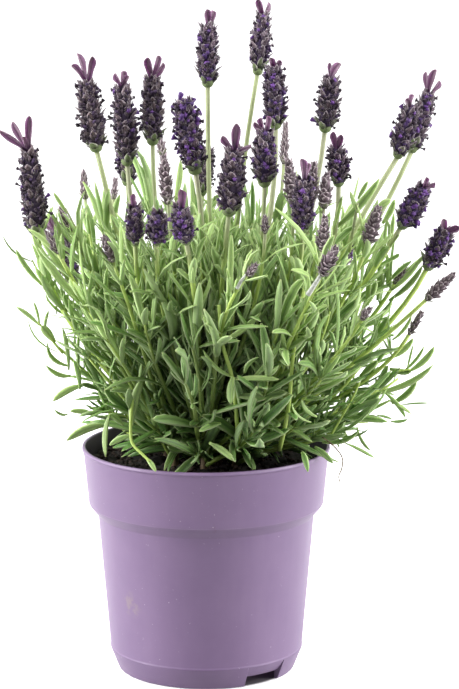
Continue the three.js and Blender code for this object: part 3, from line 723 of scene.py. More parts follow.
class Stem:
    """A stem that ends at a point in a direction. Pairs is how many leaf pairs its solid has, from
    one share of its length to another, and a tuft of upright leaves may end it."""

    def __init__(self, end, direction, seed, pairs=0, shares=(0, 0), tuft=False, kind="shoot"):
        self.end = end
        self.direction = direction
        self.seed = seed
        self.pairs = pairs
        self.shares = shares
        self.tuft = tuft
        self.kind = kind
        self.curve = None
        self.fresh = 0.36 * drawer(seed + 5)() - 0.18


sprays = [
    Spray(reach, first_turn + 360 / count * i)
    for count, reach, first_turn in SPRAY_RINGS
    for i in range(count)
]


def nearest_spray(point):
    return min(sprays, key=lambda spray: np.linalg.norm(spray.middle[:2] - point[:2]))


def set_curve(stem, root, share):
    """Bezier curve that leaves the woody base fairly upright and ends along the direction."""
    start = root.copy()
    start[2] = SOIL_TOP + lerp(2, BASE_RISE - 1, share)
    chord = stem.end - start
    reach = np.linalg.norm(chord)
    leave = unit(np.array([chord[0], chord[1], max(chord[2], BEND_STEEP * reach)]))
    lower = start + leave * BEND_LOWER * reach
    upper = stem.end - stem.direction * BEND_UPPER * reach
    stem.curve = Curve(start, lower, upper, stem.end)


def leaning(outward, lean):
    """The direction that leans from upright to the outward one by an angle in degrees."""
    lean = math.radians(lean)
    return outward * math.sin(lean) + UP * math.cos(lean)


def direction_of(right, front):
    """Directions that lean to the right and to the front by angles in degrees."""
    right, front = np.radians(right), np.radians(front)
    return np.stack([np.sin(right) * np.cos(front), -np.sin(front), np.cos(right) * np.cos(front)],
                    axis=-1)


def solid_stems():
    """The stems that the solids have, in their order, with the seeds of their leaves."""
    stems = []
    for flower in FLOWERS:
        axis = unit(flower.top - flower.foot)
        direction = axis if flower.stalk is None else direction_of(flower.stalk, 0)
        stems.append(dict(end=flower.foot - axis * TOUCH_GAP, direction=direction, pairs=1,
                          shares=(0.52, 0.52), kind="flower"))
    for bud in BUDS:
        stems.append(dict(end=bud.foot, direction=unit(bud.top - bud.foot), pairs=1, shares=(0.6, 0.6),
                          kind="bud"))
    for i in range(UPRIGHT_COUNT):
        share = math.sqrt((i + 0.5) / UPRIGHT_COUNT)
        outward = outward_of(GOLDEN_ANGLE * (i + 1))
        lift = SHOOT_JITTER * (2 * drawer(11 + 17 * i)() - 1)
        end = outward * UPRIGHT_REACH * share
        end = end + [SHOOT_MIDDLE, 0, UPRIGHT_TOP - UPRIGHT_FALL * share * share + lift]
        stems.append(dict(end=end, direction=leaning(outward, lerp(*UPRIGHT_LEAN, share)), pairs=4,
                          shares=(0.45, 0.96), tuft=True))
    for i in range(LOW_COUNT):
        outward = outward_of(LOW_FIRST + 360 / LOW_COUNT * i)
        lift = SHOOT_JITTER * (2 * drawer(7 + 13 * i)() - 1)
        stems.append(dict(end=outward * LOW_REACH + [LOW_MIDDLE, 0, LOW_TOP + lift],
                          direction=leaning(outward, LOW_LEAN), pairs=3, shares=(0.55, 0.95), tuft=True))
    for end, lean in EDGE_SHOOTS:
        stems.append(dict(end=np.array(end, float), direction=direction_of(*lean), pairs=3,
                          shares=(0.6, 0.96), tuft=True))
    return [Stem(seed=100 + 37 * (i + 1), **stem) for i, stem in enumerate(stems)]


def filling_stems(rng):
    """Leafy shoots between the solid ones: a golden-angle set over the whole crown, and a ring of
    short ones that lean towards the rim."""
    stems = []
    for i in range(FILL_COUNT):
        share = math.sqrt((i + 0.5) / FILL_COUNT)
        outward = outward_of(GOLDEN_ANGLE * (i + 1) + FILL_FIRST + rng.uniform(-9, 9))
        height = FILL_TOP - FILL_FALL * share ** 2 + rng.uniform(-20, 10)
        end = outward * FILL_REACH * share + [SHOOT_MIDDLE, 0, height]
        direction = leaning(outward_of(rng.uniform(0, 360)) * 0.25 + outward, lerp(*FILL_LEAN, share))
        direction = unit(direction + rng.normal(0, 0.12, 3))
        stems.append(Stem(end, direction, 1000 + i, tuft=True))
    for i in range(RIM_COUNT):
        turn = 360 / RIM_COUNT * i + rng.uniform(-5, 5)
        outward = outward_of(turn)
        reach = rng.uniform(*(BARE_REACH if abs(turn - BARE_TURN) < BARE_HALF else RIM_REACH))
        end = outward * reach * RIM_STRETCH + [SHOOT_MIDDLE, 0, rng.uniform(*RIM_TOP)]
        stems.append(Stem(end, leaning(outward, rng.uniform(*RIM_LEAN)), 2000 + i, tuft=True, kind="rim"))
    return stems


# Leaves

LEAF_OUTLINE = np.array([(0, 0.36), (0.2, 0.72), (0.45, 0.96), (0.72, 0.96), (0.9, 0.68), (1, 0.18)])
STRAY_OUTLINE = np.array([
    (0, 0.4), (0.12, 0.55), (0.26, 0.8), (0.42, 0.96), (0.58, 1), (0.74, 0.9), (0.88, 0.66), (1, 0.16),
])
SMALL_OUTLINE = np.array([(0, 0.4), (0.4, 0.9), (0.82, 0.95), (1, 0.3)])


def paired_leaves(stem, shares, turns, spreads, droops, lengths, widths, sways, curls):
    """Leaves of a stem at shares of its length. Across and through are square to the stem, the
    turn goes round it, and the leaf leaves it by the spread."""
    ahead = stem.curve.ahead(shares)
    level = level_beside(stem.end - stem.curve.points[0])
    across = square_to(np.broadcast_to(level, ahead.shape), ahead)
    outward = around(across, np.cross(across, ahead), turns)
    spread = np.radians(spreads)[:, None]
    beside = unit(np.cross(ahead, outward))
    return {
        "root": stem.curve.place(shares),
        "direction": ahead * np.cos(spread) + outward * np.sin(spread),
        "beside": beside,
        "bend": beside * sways[:, None] - UP * droops[:, None],
        "curl": outward * curls[:, None] + beside * 0.6 * curls[:, None],
        "length": lengths,
        "width": widths,
        "fresh": np.full(len(shares), stem.fresh),
    }


def solid_leaves(stem):
    """The leaves that the solids have: crossed pairs, each a quarter turn on from the last."""
    draw = drawer(stem.seed)
    phase = draw() * math.pi
    rows = []
    for pair in range(stem.pairs):
        share = lerp(*stem.shares, pair / (stem.pairs - 1) if stem.pairs > 1 else 0)
        for side in (0, 1):
            turn = phase + pair * math.pi / 2 + side * math.pi + (draw() - 0.5) * 0.6
            wide = lerp(*LEAF_SPREAD, draw())
            last = stem.tuft and pair == stem.pairs - 1
            spread = TUFT_SPREAD if last else wide
            rows.append((share, turn, spread, lerp(*LEAF_DROOP, draw()), lerp(*LEAF_LENGTH, draw()),
                         lerp(*LEAF_WIDTH, draw()), 0, 0.24 * math.sin(9 * turn)))
    return paired_leaves(stem, *np.array(rows).T)


def filling_leaves(stem, rng):
    """Crossed pairs all along the leafy part of a stem, closer together towards its end, where
    the leaves are shorter and stand more upright. Low leaves are broader and bend down."""
    top = 0.97
    if stem.kind in ("flower", "bud"):
        heights = stem.curve.points[:, 2]
        top = float(np.interp(LEAFY_TOP, heights, stem.curve.shares)) - 0.04
    count = max(2, round(stem.curve.length * top / NODE_STEP))
    nodes = top * (1 - (1 - np.linspace(0.1, 1, count)) ** NODE_CROWD)
    shares = np.repeat(nodes, 2)
    pair = np.repeat(np.arange(count), 2)
    side = np.tile([0, 1], count)
    number = len(shares)
    turns = rng.uniform(0, math.pi) + pair * math.pi / 2 + side * math.pi + rng.uniform(-0.4, 0.4, number)
    near_end = shares / top
    lowness = np.clip((LOW_START - stem.curve.place(shares)[:, 2]) / LOW_DEPTH, 0, 1)
    spreads = lerp(*MORE_SPREAD, near_end) + LOW_SPREAD * lowness + rng.uniform(-14, 14, number)
    if stem.tuft:
        spreads = np.where(near_end > 0.97, rng.uniform(8, 24, number), spreads)
    lengths = rng.uniform(*MORE_LENGTH, number) * lerp(1, 0.8, near_end ** 3)
    broad = rng.uniform(0, 1, number) < BROAD_SHARE + LOW_BROAD * lowness
    widths = np.where(broad, rng.uniform(*BROAD_WIDTH, number), rng.uniform(*SLIM_WIDTH, number))
    droops = rng.uniform(*MORE_DROOP, number) + LOW_DROOP * lowness * rng.uniform(0, 1, number)
    sways = rng.normal(0, 0.14, number)
    curls = rng.normal(0, 0.2, number)
    return paired_leaves(stem, shares, turns, spreads, droops, lengths, widths, sways, curls)


def small_leaves(rows, rng):
    """Tufts of small leaves in the axils: beside each leaf's root, along a way between the leaf
    and the stem."""
    number = len(rows["length"])
    picked = np.repeat(np.arange(number)[rng.uniform(0, 1, number) < SMALL_SHARE], SMALL_EACH)
    base = chosen(rows, picked)
    count = len(picked)
    lean = rng.normal(0, 0.28, (count, 3))
    direction = unit(base["direction"] + 0.45 * UP + lean)
    beside = square_to(base["beside"] + rng.normal(0, 0.4, (count, 3)), direction)
    return {
        "root": base["root"] + base["direction"] * 0.6,
        "direction": direction,
        "beside": beside,
        "bend": -UP * rng.uniform(-0.2, 0.12, (count, 1)),
        "curl": rng.normal(0, 0.16, (count, 3)),
        "length": rng.uniform(*SMALL_LENGTH, count),
        "width": rng.uniform(*SMALL_WIDTH, count),
        "fresh": base["fresh"] + 0.1,
    }


def crown_sides(height):
    """How far leaves reach to the left and to the right at a height."""
    heights, left, right = np.array(CROWN).T
    return np.interp(height, heights, left), np.interp(height, heights, right)


def clear_of_pot(rows):
    """True for each leaf whose points all keep out of the pot, the peat, the space low before the
    pot and the space beyond the crown and the plant's box."""
    points = uncurled(rows, np.linspace(0.1, 1, 8))
    across, height = points[:, :, 0], points[:, :, 2]
    radius = np.linalg.norm(points[:, :, :2], axis=-1)
    over_rim = height > POT_HEIGHT + RIM_CLEAR
    inside = (radius < BAND[0] - INNER_CLEAR) & (height > SOIL_TOP + PEAT_CLEAR)
    outside = (radius > RIM_RADIUS + OUTER_CLEAR) & (height > POT_HEIGHT - RIM_HANG)
    ahead = -RIM_RADIUS - points[:, :, 1]
    low_ahead = (ahead > 0) & (height < POT_HEIGHT - RIM_HANG + FRONT_RISE * ahead)
    boxed = np.all((points > LOWEST - BOX_SLACK[0]) & (points < HIGHEST + BOX_SLACK[1]), axis=-1)
    left, right = crown_sides(height)
    crowned = (across > left) & (across < right)
    return np.all((over_rim | inside | outside) & ~low_ahead & boxed & crowned, axis=1)


def hollow_share(points):
    """How much points belong to the shady hollow low in the plant's front."""
    off = np.hypot((points[..., 0] - HOLLOW_MIDDLE[0]) / HOLLOW_REACH[0],
                   (points[..., 2] - HOLLOW_MIDDLE[1]) / HOLLOW_REACH[1])
    before = np.clip((-points[..., 1] - HOLLOW_FRONT) / HOLLOW_FADE, 0, 1)
    return np.clip(1.6 - 1.6 * off, 0, 1) * before


def painted_shade_share(points):
    """How deep points are inside the crown: 1 near its middle and 0 at its outline and its top.
    In the hollow they count as deeper than they are. It sets the painted shade of leaves and stems."""
    left, right = crown_sides(points[..., 2])
    radius = np.linalg.norm(points[..., :2] - [SHOOT_MIDDLE, 0], axis=-1)
    deep = np.clip(1.35 - 1.5 * radius / ((right - left) / 2), 0, 1)
    deep = deep * np.clip((SHADE_TOP - points[..., 2]) / SHADE_FADE, 0, 1)
    return np.maximum(deep, HOLLOW_SHADE * hollow_share(points))


def add_leaves(heap, rows, rng, outline, section):
    """Puts leaves in the heap with a tint each: fresher on some stems than on others, fresher the
    higher they stand, and paler at the left as painted light, where more light reaches them."""
    number = len(rows["length"])
    rise = np.clip((rows["root"][:, 2] - SOIL_TOP) / TINT_OVER, 0, 1)
    # Painted light: leaves at the left are paler, where more light reaches them
    painted_light = LEFT_PAINTED_LIGHT * np.clip((-rows["root"][:, 0] - PAINTED_LIGHT_FROM) / PAINTED_LIGHT_OVER, 0, 1)
    tint = TINT_LOW + TINT_RISE * rise + painted_light + rows["fresh"] + rng.normal(0, TINT_UNEVEN, number)
    tint = np.clip(tint, 0, 1)
    below = np.clip(-section[:, 1] * 3, 0, 1)
    rings = blades(rows, outline, section)
    # Inner is painted shade: a stray leaf's dark tone, or how deep the leaf stands in the crown and the
    # hollow
    inner = rows["dark"][:, None, None] if "dark" in rows else painted_shade_share(rings)
    heap.add(rings, LEAF, tint=tint[:, None, None], below=below[None, None, :], inner=inner,
             **blade_traits(outline, section))


def stray_leaves(spray, rng):
    """The single leaves of a spray. A leaf's spine is root + (tip - root) * t + 4 * bow * t * (1 - t)."""
    picked = [row for row in STRAYS if nearest_spray(row[0]) is spray]
    if not picked:
        return None
    root, tip, width, bow, tone = (np.array(column, float) for column in zip(*picked))
    count = len(picked)
    bow = np.stack([bow[:, 0], np.zeros(count), bow[:, 1]], axis=-1)
    way = tip - root + 4 * bow
    length = np.linalg.norm(way, axis=1)
    facing = unit(np.array([0.0, -1.0, 0.5]) + rng.normal(0, 0.35, (count, 3)))
    return {
        "root": root,
        "direction": way / length[:, None],
        "beside": unit(np.cross(facing, way)),
        "bend": -4 * bow / length[:, None],
        "curl": np.zeros((count, 3)),
        "length": length,
        "width": width,
        "fresh": 0.3 + np.where(tone > 0, tone, 0) * 0.4,
        # A dark tone is painted shade
        "dark": np.where(tone < 0, -tone, 0),
    }


def add_threads(heap, spray):
    """The thin shoots of a spray: tubes along lines whose points are averaged with their neighbours."""
    for points, radius, finish in THREADS:
        if nearest_spray(points[0]) is spray:
            along = np.linspace(0, 1, 3 * len(points))
            path = read_between(along, np.linspace(0, 1, len(points)), points)
            path[1:-1] = (path[:-2] + path[1:-1] + path[2:]) / 3
            radii = radius * lerp(1.1, 0.8, along)
            # On stems, a quarter of the painted shade inside the plant and half the painted highlight of a
            # corner
            heap.add(tubes(path[None], radii[None], 6), finish, along=0.5, tint=0.3, side=0.5, inner=0.25)


def add_stem(heap, stem):
    """A stem as a tube of eight sides whose corners stand a little proud, as a mint stem's do.
    A leafy shoot is slim at its end."""
    share = np.linspace(0, 1, 13)
    path = stem.curve.place(share)[None]
    slim = 0.0 if stem.kind in ("flower", "bud") else 0.45
    radii = (STEM_RADIUS[stem.kind] * lerp(1.15, 0.9, share) * (1 - slim * share ** 3))[None]
    rings = tubes(path, radii, 8)
    corner = np.arange(8) % 2
    square = np.where(corner == 0, 1.04, 0.9)[None, None, :, None]
    rings = path[:, :, None] + (rings - path[:, :, None]) * square
    # Inner is painted shade inside the crown and the hollow; side marks the corners that get a painted
    # highlight
    heap.add(rings, STEM, along=share[None, :, None], tint=(stem.seed % 7) / 7, side=corner[None, None, :],
             inner=np.maximum(painted_shade_share(rings), 0.9 * hollow_share(rings)))


def add_base(heap, root):
    """A woody base: a tube that narrows upwards, with its foot sunk in the peat."""
    share = np.linspace(0, 1, 6)
    path = (root + np.linspace(-BASE_SUNK, BASE_RISE, 6)[:, None] * UP)[None]
    radii = lerp(BASE_BOTTOM, BASE_TOP, share)[None]
    heap.add(tubes(path, radii, 10), WOOD, along=share[None, :, None])


# Heads

SCALE_OUTLINE = np.array([(0, 0.5), (0.28, 0.9), (0.52, 0.98), (0.74, 0.68), (0.9, 0.32), (1, 0.08)])
SCALE_SECTION = petal_section(5, 0.4)
TOOTH_OUTLINE = np.array([(0, 0.7), (0.5, 0.85), (1, 0.12)])
TOOTH_SECTION = np.array([(0, -0.4, 0), (1, 0.1, 0), (0, 0.3, 0), (-1, 0.1, 0)])


def scale_rows(head, widths, step, size, per_tier, phase, rng):
    """Scales of a spike: each tier is turned by half the gap between its scales from the last, so
    the scales stand in upright ranks. A scale rises from six tenths of the spike's radius to its
    full radius and cups round the axis."""
    axis, length, across, through = head.axes()
    tiers = max(3, round(length / step))
    tier = np.repeat(np.arange(tiers), per_tier)
    count = len(tier)
    turn = phase + tier * math.pi / per_tier + np.tile(np.arange(per_tier), tiers) * 2 * math.pi / per_tier
    turn = turn + rng.normal(0, 0.2, count)
    height = length * (tier + 0.05 + rng.uniform(-0.34, 0.34, count)) / (tiers + 0.5)
    height = np.maximum(height, 0)
    reach = np.minimum(size[0] * rng.uniform(0.78, 1.2, count), length - height + 2.6)
    start_radius = head.wide / 2 * read_profile(widths, height / length) * 0.6
    tip_share = np.minimum((height + reach) / length, 1)
    tip_radius = head.wide / 2 * read_profile(widths, tip_share) * rng.uniform(0.86, 1.12, count)
    outward = around(across, through, turn)
    lean = np.arctan2(tip_radius - start_radius, reach)[:, None]
    return {
        "root": head.foot + axis * height[:, None] + outward * start_radius[:, None],
        "direction": axis * np.cos(lean + 0.22) + outward * np.sin(lean + 0.22),
        "beside": np.cross(axis, outward),
        "bend": -outward * 0.2 + outward * rng.uniform(0, 0.16, (count, 1)),
        "curl": outward * rng.uniform(-0.06, 0.2, (count, 1)),
        "length": reach / np.cos(lean[:, 0]),
        "width": size[1] * rng.uniform(0.75, 1.15, count) * lerp(0.75, 1, tip_radius * 2 / head.wide),
        "height": height / length,
        "outward": outward,
    }


def tooth_rows(head, count, rng):
    """Small pointed teeth of the calyxes all over a spike, at random heights and turns. A tooth
    rises from about four fifths of the spike's radius."""
    axis, length, across, through = head.axes()
    height = rng.uniform(0.1, 1, count) * length
    outward = around(across, through, rng.uniform(0, 2 * math.pi, count))
    radius = head.wide / 2 * read_profile(HEAD_WIDTHS, height / length)[:, None]
    lean = rng.uniform(0.1, 0.8, (count, 1))
    return {
        "root": head.foot + axis * height[:, None] + outward * radius * 0.78,
        "direction": axis * np.cos(lean) + outward * np.sin(lean),
        "beside": np.cross(axis, outward),
        "bend": -outward * rng.uniform(-0.1, 0.3, (count, 1)),
        "curl": np.zeros((count, 3)),
        "length": rng.uniform(1.8, 3.6, count),
        "width": rng.uniform(1.1, 2.1, count),
        "height": height / length,
        "outward": outward,
    }


def add_scales(heap, rows, rng, violet, finish, outline=SCALE_OUTLINE, section=SCALE_SECTION):
    """Puts scales or teeth in the heap as thin blades, each with a tint of its own."""
    tint = rng.uniform(0, 1, len(rows["length"]))
    heap.add(blades(rows, outline, section, 0.18), finish, tint=tint[:, None, None],
             height=rows["height"][:, None, None], violet=violet, **blade_traits(outline, section))


def add_hairs(heap, rows, rng, each):
    """Pale hairs of scales: thin spikes that start at a place on the scale, more of them near its
    edges, and lie along it or stand out from it."""
    base = chosen(rows, np.repeat(np.arange(len(rows["length"])), each))
    count = len(base["length"])
    t = rng.uniform(0.25, 1, count)
    side = rng.uniform(-1, 1, count)
    side = np.sign(side) * np.abs(side) ** 0.45
    half = base["width"] / 2 * np.interp(t, SCALE_OUTLINE[:, 0], SCALE_OUTLINE[:, 1])
    start = base["root"] + base["direction"] * (base["length"] * t)[:, None]
    curved = base["bend"] * (t * t)[:, None] + base["curl"] * (t ** 4)[:, None]
    start = start + curved * base["length"][:, None]
    start = start + base["beside"] * (side * half)[:, None] * 0.95 + base["outward"] * 0.12
    way = unit(base["direction"] * 0.9 + base["beside"] * side[:, None] * 0.7
               + base["outward"] * rng.uniform(0, 0.8, (count, 1)) + rng.normal(0, 0.25, (count, 3)))
    path = np.stack([start, start + way * rng.uniform(0.6, 1.5, (count, 1))], axis=1)
    radii = np.tile([0.11, 0.03], (count, 1))
    heap.add(tubes(path, radii, 3, level=base["beside"]), HAIR)


# Kinds of florets: their finish, the widths along their tube, how much they point outwards and how
# far up the axis, their reach and radius, and the lobes of a star-shaped mouth
CALYX_FLORET = {"finish": CALYX, "profile": (0.5, 0.95, 1, 0.85, 0.4), "outwards": 0.8, "rise": (0.3, 1),
                "reach": (0.42, 0.6), "radius": (0.7, 1.0), "lobes": 0}
WITHERED_FLORET = {"finish": WITHERED, "profile": (0.6, 0.48, 0.6, 1.15, 0.7), "outwards": 1,
                   "rise": (-0.1, 0.8), "reach": (0.5, 1.9), "radius": (0.55, 0.85), "lobes": 3}
OPEN_FLORET = {"finish": OPEN, "profile": (0.45, 0.5, 0.8, 1, 0.8), "outwards": 1, "rise": (0.1, 0.8),
               "reach": (0.4, 1.5), "radius": (0.75, 1.15), "lobes": 5}


def add_tubes(heap, kind, place, way, length, radius, rng):
    """Bent tubes with the kind's widths round place + length * (way * t + bend * t**2). With lobes
    the mouth opens as a star."""
    count = len(place)
    lobes = kind["lobes"]
    t = np.array([0, 0.5, 0.78, 0.92, 1.0])
    sides = 2 * lobes if lobes else 5
    bend = rng.normal(0, 0.24, (count, 3))
    path = place[:, None] + way[:, None] * (length[:, None] * t)[..., None]
    path = path + bend[:, None] * (length[:, None] * t ** 2)[..., None]
    radii = radius[:, None] * np.array(kind["profile"])
    rings = tubes(path, radii, sides, level=square_to(rng.normal(0, 1, (count, 3)), way))
    if lobes:
        centre = path[:, :, None]
        star = np.where(np.arange(sides) % 2 == 0, 1.6, 0.7)[None, None, :, None]
        opened = np.array([0, 0, 0.4, 1, 1])[None, :, None, None]
        rings = centre + (rings - centre) * (1 + (star - 1) * opened)
    heap.add(rings, kind["finish"], along=t[None, :, None], tint=rng.uniform(0, 1, (count, 1, 1)))


def add_florets(heap, head, kind, count, front, phase, rng):
    """Florets of a kind in the upright gaps between the ranks of scales, with a share of them in
    one column at the front. A calyx is as long as its reach's share of the head's radius, and a
    corolla as its reach and nearly half the radius."""
    axis, length, across, through = head.axes()
    height = lerp(0.08, 0.98, (np.arange(count) + rng.uniform(0, 1, count)) / count)
    turn = phase + (rng.integers(0, 6, count) + 0.5) * math.pi / 3 + rng.normal(0, 0.2, count)
    turn = np.where(rng.uniform(0, 1, count) < front, rng.normal(-math.pi / 2, 0.2, count), turn)
    outward = around(across, through, turn)
    radius = head.wide / 2 * read_profile(HEAD_WIDTHS, height)
    place = head.foot + axis * (height * length)[:, None] + outward * (radius * 0.55)[:, None]
    way = unit(outward * kind["outwards"] + axis * rng.uniform(*kind["rise"], (count, 1)))
    reach = rng.uniform(*kind["reach"], count)
    reach = radius * 0.45 + reach if kind["lobes"] else radius * reach
    add_tubes(heap, kind, place, way, reach, rng.uniform(*kind["radius"], count), rng)


def add_core(heap, head, widths, finish, rings, sides, ends, **traits):
    """A head's dark inside: a spindle at three quarters of its radius, and at its ends at a share
    of that."""
    shares = np.linspace(0, 1, rings)
    path = lerp(head.foot, head.top, shares[:, None])[None]
    slim = np.clip(ends + np.minimum(shares, 1 - shares) * 6, 0, 1)
    radii = (head.wide / 2 * 0.75 * read_profile(widths, shares) * slim)[None]
    heap.add(tubes(path, radii, sides), finish, height=shares[None, :, None], **traits)


def add_cup(heap, head):
    """The green cup under a head: it swells from the stalk and clasps the lowest scales."""
    axis = head.axes()[0]
    heights, shares = np.array(CUP_RADII).T
    path = (head.foot + axis * heights[:, None])[None]
    heap.add(tubes(path, (head.wide / 2 * shares)[None], 12), SCALE, along=0.6, side=0.4, tint=0.2)


def make_head(name, head, index, materials):
    """A flower head: a core, overlapping scales with hairy edges, and florets between them."""
    rng = np.random.default_rng(400 + index)
    heap = Heap("tint", "along", "side", "height", "violet")
    axis, length, _, _ = head.axes()
    phase = rng.normal(0, 0.15) + (0 if head.violet > 0.5 else math.pi / 6)
    add_core(heap, head, HEAD_WIDTHS, CALYX, rings=11, sides=10, ends=0.4, violet=head.violet)
    add_cup(heap, head)
    size = (SCALE_LENGTH, head.wide * SCALE_WIDTH)
    rows = scale_rows(head, HEAD_WIDTHS, TIER_STEP, size, TIER_SCALES, phase, rng)
    add_scales(heap, rows, rng, head.violet, SCALE)
    add_hairs(heap, rows, rng, SCALE_HAIRS)
    teeth = tooth_rows(head, round(TEETH * length), rng)
    add_scales(heap, teeth, rng, min(1, head.violet + 0.2), SCALE, TOOTH_OUTLINE, TOOTH_SECTION)
    add_hairs(heap, teeth, rng, TOOTH_HAIRS)
    crowd = length * head.wide / FULL_HEAD
    for kind, count, front in (
        (CALYX_FLORET, round(length / CALYX_STEP) * CALYX_RANKS, 0),
        (WITHERED_FLORET, max(2, round(WITHERED_COUNT * crowd * head.dried)), 0),
        (OPEN_FLORET, max(1, round(OPEN_COUNT * crowd * head.fresh)), 0.4 * head.violet),
    ):
        add_florets(heap, head, kind, count, front, phase, rng)
    count = len(head.crown)
    if count:
        place = head.top + np.outer(head.crown * 0.3, [1, 0, 0]) - axis * CROWN_SUNK
        way = unit(axis + np.outer(head.crown * 0.04, [1, 0, 0]))
        length, radius = np.full(count, CROWN_LENGTH), np.full(count, CROWN_RADIUS)
        add_tubes(heap, OPEN_FLORET, place, way, length, radius, rng)
    hold(heap.piece(name + "_scales", materials), "heads", name)


EAR_OUTLINE = np.array([
    (0, 0.5), (0.08, 0.54), (0.18, 0.61), (0.3, 0.71), (0.42, 0.82), (0.54, 0.9), (0.66, 0.96),
    (0.77, 0.96), (0.86, 0.88), (0.93, 0.7), (0.98, 0.42), (1, 0.14),
])
EAR_SECTION = petal_section(9, 0.95)


def make_ears(name, head, index, material):
    """The rabbit ears: thin petals, narrow at the foot and broad near the tip, that stand on a
    small cap among the topmost scales of the head. A petal leaves the cap more upright than it
    ends, rolled about its length, and its tip is its length from the head's tip."""
    rng = np.random.default_rng(700 + index)
    axis = head.axes()[0]
    heap = Heap("tint", "along", "side", "across")
    cap_foot = head.top - axis * EAR_SUNK
    path = (cap_foot + axis * (CAP_HEIGHT * np.linspace(0, 1, 4))[:, None])[None]
    heap.add(tubes(path, np.array([CAP_RADII]), 8), tint=0.2, along=-1)
    right, front, lengths, widths = head.ears.T
    direction = direction_of(0.75 * right, 0.6 * front)
    count = len(direction)
    root = cap_foot + axis * CAP_HEIGHT / 2 + direction * EAR_START
    way = head.top + direction_of(right, front) * lengths[:, None] - root
    reach = np.linalg.norm(way, axis=1)
    roll = np.radians(rng.uniform(-EAR_ROLL, EAR_ROLL, (count, 1)))
    beside = unit(np.cross(direction, np.array([0.0, 1.0, 0.0])))
    beside = beside * np.cos(roll) + np.cross(direction, beside) * np.sin(roll)
    above = np.cross(direction, beside)
    rows = {
        "root": root,
        "direction": direction,
        "beside": beside,
        "bend": way / reach[:, None] - direction + above * rng.uniform(-0.08, 0.12, (count, 1)),
        "curl": above * rng.uniform(-0.1, 0.1, (count, 1)),
        "length": reach,
        "width": widths * EAR_SLIM,
        "phase": rng.uniform(0, 6, count),
    }
    petals = blades(rows, EAR_OUTLINE, EAR_SECTION, 0.16, wave=0.35)
    heap.add(petals, tint=rng.uniform(0, 1, (count, 1, 1)), across=EAR_SECTION[:, 0][None, None, :],
             **blade_traits(EAR_OUTLINE, EAR_SECTION))
    hold(heap.piece(name + "_petals", [material]), "bracts", name)


def add_bud(heap, bud, rng):
    """An unopened head: small pointed scales close together round a slim core."""
    add_core(heap, bud, BUD_WIDTHS, BUD, rings=7, sides=8, ends=1, tint=0.2)
    size = (BUD_SCALE_LENGTH, bud.wide * BUD_SCALE_WIDTH)
    rows = scale_rows(bud, BUD_WIDTHS, BUD_TIER_STEP, size, BUD_TIER_SCALES, rng.uniform(0, 1), rng)
    add_scales(heap, rows, rng, 0.75, BUD)
    add_hairs(heap, rows, rng, BUD_SCALE_HAIRS)


# Pot and peat

def softened(points, reach):
    """The line with each inner corner cut back by the reach and rounded by one point between."""
    points = np.array(points, float)
    soft = [points[0]]
    for before, corner, after in zip(points, points[1:], points[2:]):
        ways = [before - corner, after - corner]
        cuts = [corner + way * min(reach / np.linalg.norm(way), 0.4) for way in ways]
        soft += [cuts[0], (cuts[0] + 2 * corner + cuts[1]) / 4, cuts[1]]
    soft.append(points[-1])
    return np.array(soft)


def pot_profile():
    """Radius and height along the pot's wall: from under its floor out, up, over the rim and
    down inside."""
    skirt = FOOT_RADIUS - WALL
    lip = RIM_RADIUS + LIP_PROUD
    lower = POT_HEIGHT - LIP_HEIGHT
    return [
        (0.5, FLOOR_UNDER), (skirt + 0.3, FLOOR_UNDER), (skirt, 0), (FOOT_RADIUS, 0),
        (FOOT_RADIUS + FOOT_CORNER, FOOT_CORNER), (CREASE[0], CREASE[1] - 0.4),
        (CREASE[0] - 0.3, CREASE[1] + 0.2), SHOULDER, (BAND[0] - 0.5, BAND[1] - 0.4),
        (BAND[0], BAND[1] + 0.6), (RIM_RADIUS - 0.3, lower - 0.6), (lip, lower),
        (lip - 0.3, POT_HEIGHT), (RIM_RADIUS - WALL + 0.3, POT_HEIGHT),
        (RIM_RADIUS - WALL, POT_HEIGHT - 0.7), (BAND[0] - WALL, BAND[1] + 0.6),
        (SHOULDER[0] - WALL, SHOULDER[1]), (CREASE[0] - WALL, CREASE[1]),
        (CREASE[0] - WALL - 0.7, FLOOR_TOP), (0.5, FLOOR_TOP),
    ]


def turned_pot():
    """The pot's profile turned round the axis: radius * outward + height * up. At the two drain
    notches the skirt's lower edge is lifted."""
    half_notch = math.degrees(NOTCH_WIDTH / 2 / FOOT_RADIUS)
    middles = [NOTCH_TURN - 90, NOTCH_TURN + 90]
    edges = [
        middle + way * (half_notch + step)
        for middle in middles for way in (-1, 1) for step in (0, NOTCH_EDGE)
    ]
    even = np.arange(POT_SIDES) * 360 / POT_SIDES
    far = np.array([min(abs((one - edge + 180) % 360 - 180) for edge in edges) for one in even])
    turns = np.sort(np.concatenate([even[far > 0.6], np.array(edges) % 360]))
    profile = softened(pot_profile(), POT_CORNER)
    radius = np.broadcast_to(profile[:, 0][:, None], (len(profile), len(turns)))
    height = np.broadcast_to(profile[:, 1][:, None], radius.shape)
    off = np.min([np.abs((turns - middle + 180) % 360 - 180) for middle in middles], axis=0)
    lift = np.where(off < half_notch + 0.1, NOTCH_HEIGHT, 0)
    skirt = (radius > FOOT_RADIUS - WALL - 0.5) & (height < FLOOR_UNDER)
    height = np.where(skirt, np.maximum(height, lift), height)
    way = outward_of(turns)
    return radius[..., None] * way[None] + height[..., None] * UP


